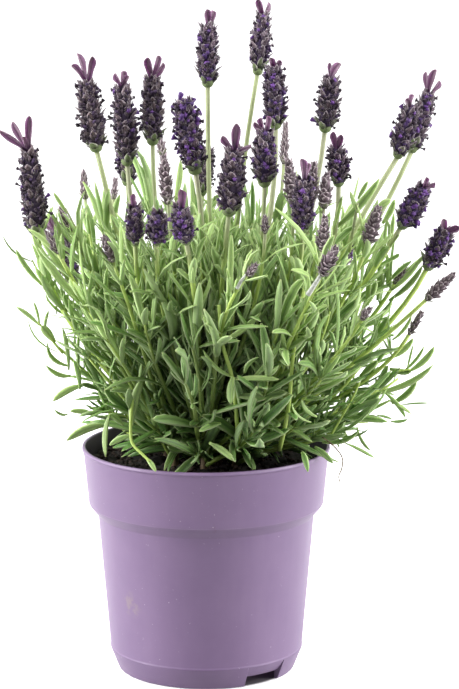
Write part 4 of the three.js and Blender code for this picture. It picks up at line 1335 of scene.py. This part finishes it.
def make_pot(material):
    """The pot, with the drain holes cut out of its floor."""
    heap = Heap()
    heap.add(turned_pot()[None])
    obj = heap.piece("nursery_pot", [material])
    drains = Heap()
    outward = outward_of(np.arange(DRAIN_COUNT) * 360 / DRAIN_COUNT)
    path = outward[:, None] * DRAIN_RING + np.linspace(0, 2 * FLOOR_TOP, 2)[None, :, None] * UP
    drains.add(tubes(path, np.full((DRAIN_COUNT, 2), DRAIN_RADIUS), 20, level=outward))
    cutter = drains.piece("drain_cutter", [])
    cut = obj.modifiers.new("drain holes", "BOOLEAN")
    cut.operation = "DIFFERENCE"
    cut.object = cutter
    shaped = obj.evaluated_get(bpy.context.evaluated_depsgraph_get())
    mesh = bpy.data.meshes.new_from_object(shaped)
    obj.modifiers.clear()
    obj.data = mesh
    bpy.data.objects.remove(cutter)
    mesh.shade_smooth()
    mesh.set_sharp_from_angle(angle=math.radians(SHARP_FROM))
    hold(obj, "pot", "pot")


def soil_height(x, y):
    """Height of the peat: its level, two broad waves and a finer one."""
    broad = 1.2 * np.sin(x * 0.19 + 0.6) * np.cos(y * 0.16 - 0.4)
    fine = 0.7 * np.sin(x * 0.41 - y * 0.33) + 0.5 * np.cos(x * 0.29 + y * 0.47)
    return SOIL_TOP + broad + fine


def make_soil(material):
    """The peat: a turned body that fills the pot, with a rough top."""
    rng = np.random.default_rng(5)
    top_radius = lerp(BAND[0], RIM_RADIUS, (SOIL_TOP - BAND[1]) / (POT_HEIGHT - BAND[1])) - WALL - TOUCH_GAP
    side = [
        (1, FLOOR_TOP + TOUCH_GAP), (CREASE[0] - WALL - 0.7 - TOUCH_GAP, FLOOR_TOP + TOUCH_GAP),
        (SHOULDER[0] - WALL - TOUCH_GAP, SHOULDER[1]), (BAND[0] - WALL - TOUCH_GAP, BAND[1] + 0.6),
        (top_radius, SOIL_TOP - 1.5),
    ]
    across = np.linspace(top_radius - 0.3, 0.6, SOIL_RINGS)
    level = np.full(SOIL_RINGS, SOIL_TOP)
    profile = np.concatenate([np.array(side), np.stack([across, level], axis=-1)])
    way = outward_of(np.arange(SOIL_SIDES) * 360 / SOIL_SIDES)
    rings = profile[:, 0][:, None, None] * way[None] + profile[:, 1][:, None, None] * UP
    top = np.arange(len(profile)) >= len(side)
    rough = soil_height(rings[..., 0], rings[..., 1]) + rng.normal(0, SOIL_ROUGH, rings.shape[:2])
    rings[..., 2] = np.where(top[:, None], rough, rings[..., 2])
    heap = Heap()
    heap.add(rings[None])
    hold(heap.piece("peat", [material]), "soil", "soil")


def make_crumbs(materials):
    """Loose crumbs of peat and a few white grains on top: small lumps with uneven corners."""
    rng = np.random.default_rng(8)
    heap = Heap("tint")
    for count, sizes, flat, finish in (
        (CRUMB_COUNT, CRUMB_SIZE, CRUMB_FLAT, 0), (GRAIN_COUNT, GRAIN_SIZE, GRAIN_FLAT, 1),
    ):
        turn = rng.uniform(0, 360, count)
        radius = CRUMB_REACH * np.sqrt(rng.uniform(0.02, 1, count))
        place = outward_of(turn) * radius[:, None]
        size = rng.uniform(*sizes, count)
        place[:, 2] = soil_height(place[:, 0], place[:, 1]) + size * 0.35
        polar = np.radians([22, 65, 115, 158])
        round_turn = np.arange(6) * math.pi / 3
        shape = np.stack([
            np.sin(polar)[:, None] * np.cos(round_turn), np.sin(polar)[:, None] * np.sin(round_turn),
            -np.cos(polar)[:, None] * flat * np.ones(6),
        ], axis=-1)
        uneven = rng.uniform(0.7, 1.2, (count, 4, 6, 1))
        rings = place[:, None, None] + shape[None] * uneven * size[:, None, None, None]
        heap.add(rings, finish, tint=rng.uniform(0, 1, (count, 1, 1)))
    hold(heap.piece("peat_crumbs", materials), "soil")


# Finishes

def of_two(operation, turned=False):
    """An operator that adds a Math node of two values. The reflected form turns them round."""
    def operate(self, other):
        first, second = (other, self) if turned else (self, other)
        return self.tree.node("Math", {"operation": operation}, {0: first, 1: second})

    return operate


class Wire:
    """A socket of a node tree, with the arithmetic that shader maths needs."""

    def __init__(self, tree, socket):
        self.tree = tree
        self.socket = socket

    __add__ = of_two("ADD")
    __radd__ = of_two("ADD", turned=True)
    __sub__ = of_two("SUBTRACT")
    __rsub__ = of_two("SUBTRACT", turned=True)
    __mul__ = of_two("MULTIPLY")
    __rmul__ = of_two("MULTIPLY", turned=True)
    __pow__ = of_two("POWER")
    __rpow__ = of_two("POWER", turned=True)

    def sine(self):
        return self.tree.node("Math", {"operation": "SINE"}, {0: self})

    def size(self):
        return self.tree.node("Math", {"operation": "ABSOLUTE"}, {0: self})

    def step(self, low, high):
        """A smooth step from 0 at low to 1 at high."""
        settings = {"interpolation_type": "SMOOTHSTEP"}
        return self.tree.node("MapRange", settings, {0: self, 1: low, 2: high, 3: 0.0, 4: 1.0})


def linear(colour):
    """Linear colour of an sRGB colour that is given as three values from 0 to 255. A socket and a
    colour of four values, which is linear already, stay as they are."""
    if isinstance(colour, Wire) or len(colour) == 4:
        return colour
    values = np.array(colour) / 255
    values = np.where(values <= 0.04045, values / 12.92, ((values + 0.055) / 1.055) ** 2.4)
    return (*values.tolist(), 1.0)


class Tree:
    """The nodes of one material or of the world."""

    def __init__(self, owner):
        owner.use_nodes = True
        self.owner = owner
        self.nodes = owner.node_tree.nodes
        self.links = owner.node_tree.links
        self.nodes.clear()

    def node(self, kind, settings, inputs, output=0):
        """Adds a node of a kind, with its settings first and then its inputs, and gives one of
        its outputs."""
        node = self.nodes.new("ShaderNode" + kind)
        for name, value in settings.items():
            setattr(node, name, value)
        for key, value in inputs.items():
            if isinstance(value, Wire):
                self.links.new(value.socket, node.inputs[key])
            else:
                node.inputs[key].default_value = value
        return Wire(self, node.outputs[output])

    def mix(self, share, first, second):
        """Goes from the first colour to the second by the share."""
        settings = {"data_type": "RGBA"}
        return self.node("Mix", settings, {0: share, 6: linear(first), 7: linear(second)}, output=2)

    def coats(self, colour, *coats):
        """Lays coats over a colour, one after the other, each as (share, colour)."""
        for share, coat in coats:
            colour = self.mix(share, colour, coat)
        return colour

    def traits(self, *names):
        return [self.node("Attribute", {"attribute_name": name}, {}, output=2) for name in names]

    def place(self):
        return self.node("TexCoord", {}, {}, output=3)

    def from_axis(self):
        """The place on the piece, from the pot's axis."""
        return self.node("VectorMath", {"operation": "SUBTRACT"}, {0: self.place(), 1: tuple(AXIS)})

    def stretched(self, scale):
        """The place on the piece, stretched by a scale along each axis."""
        settings = {"vector_type": "POINT"}
        return self.node("Mapping", settings, {"Vector": self.place(), "Scale": scale})

    def noise(self, scale, detail=3.0, rough=0.5, where=None):
        inputs = {"Vector": where or self.place(), "Scale": scale, "Detail": detail, "Roughness": rough}
        return self.node("TexNoise", {}, inputs)

    def height(self):
        """The height on the piece in millimetres."""
        return self.node("SeparateXYZ", {}, {0: self.place()}, output=2) * 1000.0

    def finish(self, colour, rough, relief=None, others=()):
        """Ends a material. Relief is (height, strength, distance in metres) of its bump, and others
        holds more of the shader's inputs by their names."""
        inputs = {"Base Color": colour, "Roughness": rough, **dict(others)}
        if relief:
            height, strength, distance = relief
            bump = {"Height": height, "Strength": strength, "Distance": distance}
            inputs["Normal"] = self.node("Bump", {}, bump)
        return self.end("Material", self.node("BsdfPrincipled", {}, inputs))

    def end(self, kind, shader):
        output = self.nodes.new("ShaderNodeOutput" + kind)
        self.links.new(shader.socket, output.inputs["Surface"])
        return self.owner


def new_tree(name):
    return Tree(bpy.data.materials.new(name))


def see_through(*values):
    """Light under the skin of a leaf or a petal: how much, how far in each colour, and its scale."""
    return dict(zip(("Subsurface Weight", "Subsurface Radius", "Subsurface Scale"), values))


def lilac_plastic():
    """Matte lilac moulded plastic: a faint mottle, dust specks, painted highlight lines at the lip, under
    the band and at the crease, painted shade lines below the band and the crease, a dull scuff low on
    the left, and painted shade on the inner wall near the rim."""
    tree = new_tree("lilac plastic")
    height = tree.height()
    level = tree.node("VectorMath", {"operation": "MULTIPLY"}, {0: tree.from_axis(), 1: (1, 1, 0)})
    radius = tree.node("VectorMath", {"operation": "LENGTH"}, {0: level}, output=1) * 1000.0
    mottle = tree.noise(18.0, 4.0, 0.6)
    streak = tree.noise(60.0, 3.0, 0.6, tree.stretched((1.0, 1.0, 0.12)))
    dust = tree.noise(700.0, 2.0, 0.5).step(0.71, 0.78) * tree.noise(40.0).step(0.45, 0.6)
    dirt = tree.noise(70.0, 5.0, 0.7, tree.stretched((1.0, 1.0, 0.6))).step(0.68, 0.78)
    from_scuff = {0: tree.from_axis(), 1: tuple(metres(np.array(SCUFF_PLACE)))}
    scuff = tree.node("VectorMath", {"operation": "DISTANCE"}, from_scuff, output=1) * 1000.0
    scuff = (1.0 - scuff.step(2.0, SCUFF_REACH)) * tree.noise(260.0, 4.0, 0.7).step(0.42, 0.62)
    # Patches that break up the painted highlight and shade lines below
    light_line_patches = tree.noise(120.0, 3.0, 0.6).step(0.3, 0.7) * 0.6 + 0.4
    base = tree.mix(mottle.step(0.3, 0.7), (115, 92, 128), (123, 100, 135))
    base = tree.coats(
        base,
        (streak.step(0.45, 0.8) * 0.14, (146, 124, 156)),
        (dust * 0.4, (206, 194, 208)),
        (dirt * 0.3, (118, 92, 98)),
        (scuff * 0.5, (140, 126, 122)),
    )
    # Painted light: the pale lines are painted highlights at the lip, at the band's lower edge and at the
    # crease, and the dull ones are painted shade just below the band and below the crease
    pale, dull = (196, 178, 204), (84, 64, 96)
    lines = [
        (POT_HEIGHT - 0.7, 0.7, 0.2, pale),
        (BAND[1] + 0.4, 0.5, 0.12, pale),
        (BAND[1] - 1.4, 1.0, 0.12, dull),
        (CREASE[1] + 0.3, 0.45, 0.12, pale),
        (CREASE[1] - 0.5, 0.5, 0.3, dull),
    ]
    for place, half, strength, colour in lines:
        line = 1.0 - ((height - place) * (1 / half)).size().step(0.2, 1.0)
        base = tree.mix(line * light_line_patches * strength, base, colour)
    # Painted shade: the inner wall near the rim is painted nearly black
    from_wall = BAND[0] - 0.9 + (height - BAND[1]) * 0.1 - radius
    inner_wall_shade = from_wall.step(0.0, 0.4) * height.step(104.0, 106.0)
    base = tree.mix(inner_wall_shade * 0.9, base, (46, 38, 46))
    rings = (height * 5.2).sine() * (1.0 - height.step(11.0, 15.0))
    grain = tree.noise(2600.0, 2.0, 0.6)
    relief = grain * 0.5 + rings * 0.35 + mottle * 0.6
    return tree.finish(base, 0.42 + mottle * 0.12 + dirt * 0.2, (relief, 0.35, 0.00012))


def damp_peat():
    tree = new_tree("damp peat")
    coarse = tree.noise(160.0, 6.0, 0.7)
    fibre = tree.noise(520.0, 4.0, 0.7, tree.stretched((1.0, 0.35, 1.0)))
    base = tree.mix(coarse.step(0.35, 0.7), (17, 14, 12), (40, 33, 28))
    base = tree.mix(fibre.step(0.64, 0.75) * 0.4, base, (82, 66, 52))
    return tree.finish(base, 0.96, (coarse + fibre * 0.6, 0.9, 0.0012))


def peat_crumb():
    tree = new_tree("peat crumb")
    tint, = tree.traits("tint")
    grain = tree.noise(700.0, 4.0, 0.6)
    base = tree.mix(tint, (20, 16, 14), (58, 45, 36))
    base = tree.mix(grain.step(0.45, 0.7) * 0.5, base, (54, 43, 36))
    return tree.finish(base, 0.95, (grain, 0.8, 0.0006))


def grained(name, noise, steps, dark, pale, rough, relief):
    """A finish of one grain: it goes from a dark to a pale colour and raises the surface."""
    tree = new_tree(name)
    grain = tree.noise(*noise)
    base = tree.mix(grain.step(*steps), dark, pale)
    return tree.finish(base, rough, relief and (grain, *relief))


def white_grain():
    return grained("white grain", (900.0, 4.0, 0.6), (0.35, 0.7), (196, 186, 172), (236, 230, 220),
                   0.9, (0.5, 0.0004))


def pale_hair():
    return grained("pale hair", (300.0, 2.0, 0.5), (0.35, 0.65), (146, 134, 146), (196, 188, 192), 0.8, None)


def white_wool():
    return grained("white wool", (1500.0, 3.0, 0.6), (0.35, 0.65), (196, 200, 188), (236, 238, 232),
                   0.9, (0.5, 0.0003))


def woody_base():
    tree = new_tree("woody base")
    bark = tree.noise(420.0, 5.0, 0.7, tree.stretched((1.0, 1.0, 0.18)))
    base = tree.mix(bark.step(0.35, 0.7), (70, 54, 40), (142, 122, 96))
    return tree.finish(base, 0.88, (bark, 0.9, 0.0008))


def lavender_leaf():
    """Felted narrow leaf: grey-green to fresh green by its tint, with painted shade in its groove, pale
    rolled edges that are partly a painted highlight, a pale underside, and painted shade inside the plant."""
    tree = new_tree("lavender leaf")
    tint, along, side, below, inner = tree.traits("tint", "along", "side", "below", "inner")
    blotch = tree.noise(55.0, 3.0, 0.5)
    fuzz = tree.noise(1500.0, 2.0, 0.6)
    base = tree.coats(
        tree.mix(tint, (86, 138, 44), (172, 199, 120)),
        ((1.0 - along.step(0.0, 0.3)) * 0.45, (176, 198, 104)),
        (blotch.step(0.4, 0.7) * 0.25, (126, 158, 98)),
        # Painted shade in the groove along the leaf's middle
        ((1.0 - side.step(0.05, 0.4)) * (0.8 - tint * 0.5), (46, 88, 20)),
        # Pale rolled edges, partly a painted highlight
        (side.step(0.7, 1.0) * 0.8, (210, 224, 168)),
        (below * 0.55, (172, 196, 140)),
        (fuzz.step(0.5, 0.8) * 0.2, (206, 218, 182)),
        (along.step(0.95, 1.0) * 0.3, (190, 180, 120)),
        # Painted shade inside the plant
        (inner * 0.8, (26, 44, 15)),
    )
    return tree.finish(base, 0.42 + fuzz * 0.25, (fuzz, 0.25, 0.0002),
                       see_through(0.1, (0.0012, 0.002, 0.0006), 0.8))


def green_stem():
    """Square green stalk: pale yellow-green, greyer above the leaves, with painted shade inside the plant,
    painted highlights on its finer corners and a purple flush here and there."""
    tree = new_tree("green stem")
    along, side, tint, inner = tree.traits("along", "side", "tint", "inner")
    patch = tree.noise(80.0, 3.0, 0.5)
    grain = tree.noise(1300.0, 2.0, 0.6, tree.stretched((1.0, 1.0, 0.2)))
    base = tree.coats(
        tree.mix(along.step(0.0, 0.8), (178, 212, 66), (188, 214, 100)),
        (tree.height().step(212.0, 246.0), (156, 158, 128)),
        (tint * 0.3, (150, 186, 76)),
        # Painted highlight on the stem's finer corners
        ((1.0 - side) * 0.3, (202, 210, 164)),
        (patch.step(0.6, 0.78) * 0.2, (142, 120, 106)),
        # Painted shade inside the plant
        (inner * 0.85, (50, 72, 26)),
        (grain.step(0.5, 0.8) * 0.2, (206, 216, 166)),
    )
    return tree.finish(base, 0.5 + grain * 0.15, (grain, 0.3, 0.0002))


def scale(name, *coats):
    """Scale of a head: brown to violet, green at the head's foot, with greyish hairy edges and
    painted shade towards its root, where the scales overlap. More coats may lie over all that, each as
    (steps, share, colour). A coat with steps lies only towards the scale's edges."""
    tree = new_tree(name)
    tint, along, side, height, violet = tree.traits("tint", "along", "side", "height", "violet")
    mottle = tree.noise(900.0, 4.0, 0.7)
    hair = tree.noise(2600.0, 2.0, 0.7)
    streak = (side * 15.0 + mottle * 9.0).sine() * 0.5 + 0.5
    brown = tree.mix(tint, (70, 54, 54), (122, 102, 96))
    purple = tree.mix(tint, (60, 42, 68), (116, 88, 116))
    edge = side.step(0.6, 1.0) * along.step(0.2, 0.6) + along.step(0.85, 1.0)
    base = tree.coats(
        tree.mix(violet, brown, purple),
        (streak.step(0.3, 1.0) * 0.5, (164, 148, 152)),
        (mottle.step(0.47, 0.56) * 0.7, (46, 32, 46)),
        ((1.0 - height.step(0.02, 0.14)) * 0.75, (124, 146, 90)),
        # Painted shade towards the scale's root
        ((1.0 - along.step(0.15, 0.7)) * 0.8, (30, 20, 32)),
        (edge * (0.2 + hair * 0.6), (194, 182, 186)),
        (hair.step(0.55, 0.75) * 0.35, (176, 162, 168)),
        *((side.step(*steps) * share if steps else share, colour) for steps, share, colour in coats),
    )
    return tree.finish(base, 0.7 + hair * 0.2, (hair + mottle * 0.6, 0.6, 0.0003))


def head_scale():
    return scale("head scale")


def bud_scale():
    """Scale of an unopened head: paler, with broad pale hairy edges."""
    return scale("bud scale", (None, 0.3, (150, 130, 138)), ((0.35, 0.95), 0.65, (204, 190, 192)))


def dark_calyx():
    tree = new_tree("dark calyx")
    violet, tint = tree.traits("violet", "tint")
    hair = tree.noise(2400.0, 3.0, 0.7)
    base = tree.coats(
        tree.mix(violet, (48, 35, 42), (50, 30, 80)),
        (tint * 0.5, (78, 54, 104)),
        (hair.step(0.55, 0.8) * 0.3, (134, 118, 138)),
    )
    return tree.finish(base, 0.75, (hair, 0.6, 0.0003))


def violet_corolla():
    tree = new_tree("violet corolla")
    tint, along = tree.traits("tint", "along")
    fine = tree.noise(1200.0, 3.0, 0.6)
    base = tree.coats(
        tree.mix(tint, (56, 28, 86), (100, 56, 134)),
        ((1.0 - along.step(0.3, 0.9)) * 0.5, (50, 28, 78)),
        (fine.step(0.5, 0.75) * 0.25, (138, 98, 166)),
    )
    return tree.finish(base, 0.6, (fine, 0.4, 0.0002))


def withered_corolla():
    tree = new_tree("withered corolla")
    tint, = tree.traits("tint")
    fine = tree.noise(1200.0, 3.0, 0.6)
    base = tree.mix(tint, (28, 18, 30), (52, 34, 54))
    base = tree.mix(fine.step(0.5, 0.8) * 0.3, base, (84, 62, 72))
    return tree.finish(base, 0.75, (fine, 0.6, 0.0003))


def ear_petal():
    """Thin petal: rose purple, with fine darker veins along it, deeper at the foot and paler
    along its middle. The cap that the petals stand on is dark."""
    tree = new_tree("ear petal")
    tint, along, side, across = tree.traits("tint", "along", "side", "across")
    cloud = tree.noise(140.0, 3.0, 0.6)
    veins = ((across * 13.0 + cloud * 2.5).sine() * 0.5 + 0.5) ** 3.0
    base = tree.coats(
        tree.mix(tint, (104, 78, 96), (134, 108, 126)),
        (cloud.step(0.35, 0.7) * 0.4, (158, 132, 150)),
        (veins * 0.75, (74, 46, 68)),
        ((1.0 - side.step(0.0, 0.16)) * 0.35, (178, 154, 168)),
        ((1.0 - along.step(0.0, 0.5)) * 0.7, (66, 44, 80)),
        (side.step(0.82, 1.0) * 0.6, (76, 54, 64)),
        (along.step(0.85, 1.0) * 0.4, (104, 78, 80)),
    )
    base = tree.mix(along.step(-1.0, 0.0), (52, 38, 52), base)
    return tree.finish(base, 0.55, (veins + cloud, 0.4, 0.0002),
                       see_through(0.25, (0.002, 0.001, 0.002), 0.6))


def pale_floor():
    """White floor that shines a little, as a lit sheet of acrylic does, with a painted shadow under the pot,
    where it is dark and doesn't shine.
    """
    tree = new_tree("pale floor")
    grain = tree.noise(9.0, 2.0, 0.5)
    radius = tree.node("VectorMath", {"operation": "LENGTH"}, {0: tree.from_axis()}, output=1) * 1000.0
    # Painted shadow: the floor under the pot is dark and without shine
    under = 1.0 - radius.step(FOOT_RADIUS - 3.0, FOOT_RADIUS + 0.5)
    base = tree.mix(grain, (0.93, 0.93, 0.93, 1), (0.95, 0.95, 0.95, 1))
    base = tree.mix(under, base, (0.1, 0.09, 0.1, 1))
    shine = tree.mix(under, (1, 1, 1, 1), (0, 0, 0, 1))
    return tree.finish(base, 0.9, others={"Emission Color": shine, "Emission Strength": 0.45})


# The whole plant

def plan_stems(rng):
    """Gives each spray its stems: first those of the solids, from low to high, then the filling."""
    for stem in solid_stems():
        nearest_spray(stem.end).stems.append(stem)
    for spray in sprays:
        spray.stems.sort(key=lambda stem: stem.end[2])
        for i, stem in enumerate(spray.stems):
            set_curve(stem, spray.root, i / (len(spray.stems) - 1))
    for stem in filling_stems(rng):
        spray = nearest_spray(stem.end)
        aside = outward_of(rng.uniform(0, 360)) * rng.uniform(0, 5)
        set_curve(stem, spray.root + aside, rng.uniform(0, 1))
        spray.stems.append(stem)


def make_sprays():
    """One piece for each spray: its woody base, its stems, all their leaves and its buds. Leaves
    in the hollow are fewer and broader."""
    rng = np.random.default_rng(21)
    plan_stems(rng)
    materials = [lavender_leaf(), green_stem(), woody_base(), bud_scale(), pale_hair(), white_wool()]
    bud_rng = np.random.default_rng(33)
    for number, spray in enumerate(sprays, 1):
        heap = Heap("tint", "along", "side", "below", "inner", "height", "violet")
        add_base(heap, spray.root)
        long_rows = []
        for stem in spray.stems:
            add_stem(heap, stem)
            if stem.pairs:
                long_rows.append(solid_leaves(stem))
            long_rows.append(filling_leaves(stem, rng))
        rows = joined_rows(long_rows)
        small = small_leaves(rows, rng)
        kept = [
            rng.uniform(0, 1, len(part["length"])) > HOLLOW_THINNED * hollow_share(part["root"])
            for part in (rows, small)
        ]
        rows = chosen(rows, clear_of_pot(rows) & kept[0])
        small = chosen(small, clear_of_pot(small) & kept[1])
        rows["width"] = rows["width"] * (1 + HOLLOW_BROADER * hollow_share(rows["root"]))
        add_leaves(heap, rows, rng, LEAF_OUTLINE, LEAF_SECTION)
        add_leaves(heap, small, rng, SMALL_OUTLINE, SMALL_SECTION)
        strays = stray_leaves(spray, rng)
        if strays is not None:
            add_leaves(heap, strays, rng, STRAY_OUTLINE, LEAF_SECTION)
        add_threads(heap, spray)
        for bud in BUDS:
            if nearest_spray(bud.foot) is spray:
                add_bud(heap, bud, bud_rng)
        hold(heap.piece(f"leafy_spray_{number:02d}", materials), "leaves", f"spray_{number:02d}")


def make_plant():
    make_pot(lilac_plastic())
    make_soil(damp_peat())
    make_crumbs([peat_crumb(), white_grain()])
    make_sprays()
    head_finishes = [head_scale(), dark_calyx(), violet_corolla(), withered_corolla(), pale_hair()]
    petal = ear_petal()
    for i, flower in enumerate(FLOWERS):
        make_head(f"head_{i + 1:02d}", flower, i, head_finishes)
        if len(flower.ears):
            make_ears(f"bracts_{i + 1:02d}", flower, i, petal)


# Studio

# The floor's radius and drop and the lights' sizes are in metres.
FLOOR_RADIUS = 9.0
FLOOR_DROP = 0.0002
FLOOR_SIDES = 96
LIGHT_AIM = (0, 0, 0.17)
SOFTBOXES = [
    ("left softbox", (-1.5, -0.34, 0.7), (0.8, 1.4), 48),
    ("right softbox", (1.5, -0.38, 0.7), (0.8, 1.4), 41),
    ("top softbox", (0, -0.4, 1.9), (1.4, 1.0), 22),
    ("front softbox", (-0.4, -1.5, 1.4), (1.0, 0.8), 1.5),
]
CAMERA_PLACE = (12.3, -1600, 489)
CAMERA_PITCH = 11.15
CAMERA_LENS = 162.65
SENSOR = 36


def make_floor():
    """A round sheet just under the pot. Matt surfaces don't see it, so its shine lights nothing."""
    turn = np.arange(FLOOR_SIDES) * 2 * math.pi / FLOOR_SIDES
    points = np.stack([np.cos(turn), np.sin(turn), np.zeros(FLOOR_SIDES)], axis=-1) * FLOOR_RADIUS
    mesh = bpy.data.meshes.new("floor")
    mesh.from_pydata((points + AXIS - [0, 0, FLOOR_DROP]).tolist(), [], [list(range(FLOOR_SIDES))])
    mesh.materials.append(pale_floor())
    obj = bpy.data.objects.new("floor", mesh)
    bpy.context.scene.collection.objects.link(obj)
    obj.visible_diffuse = False


def add_softbox(name, place, size, power):
    """A soft light at a place, turned to the aim."""
    light = bpy.data.lights.new(name, "AREA")
    light.shape = "RECTANGLE"
    light.size, light.size_y = size
    light.energy = power
    obj = bpy.data.objects.new(name, light)
    start = np.array(place) + AXIS
    way = unit(np.array(LIGHT_AIM) + AXIS - start)
    turn = math.atan2(-way[0], way[1])
    tilt = math.acos(-way[2])
    obj.location = start.tolist()
    obj.rotation_euler = (tilt, 0, turn)
    bpy.context.scene.collection.objects.link(obj)


def make_world():
    """Soft white surroundings that are dimmer on the camera's side, as in a studio."""
    world = bpy.data.worlds.new("studio")
    tree = Tree(world)
    direction = tree.node("TexCoord", {}, {}, output=0)
    back = tree.node("SeparateXYZ", {}, {0: direction}, output=1)
    above = tree.node("SeparateXYZ", {}, {0: direction}, output=2)
    higher = above.step(-0.5, 0.0)
    strength = (0.04 + back.step(-0.4, 0.5) * 1.6) * higher + 0.45 * (1.0 - higher)
    shader = tree.node("Background", {}, {"Color": (1, 1, 1, 1), "Strength": strength})
    tree.end("World", shader)
    bpy.context.scene.world = world


def make_camera():
    """The camera at the photograph's place and angle, level from side to side."""
    camera = bpy.data.cameras.new("camera")
    camera.sensor_width = SENSOR
    camera.lens = CAMERA_LENS
    camera.clip_end = 50
    obj = bpy.data.objects.new("camera", camera)
    obj.location = (metres(np.array(CAMERA_PLACE)) + AXIS).tolist()
    obj.rotation_euler = (math.radians(90 - CAMERA_PITCH), 0, 0)
    bpy.context.scene.collection.objects.link(obj)
    bpy.context.scene.camera = obj


def make_studio():
    make_floor()
    make_world()
    for box in SOFTBOXES:
        add_softbox(*box)
    make_camera()
    bpy.context.scene.view_settings.view_transform = "Standard"


make_plant()
make_studio()
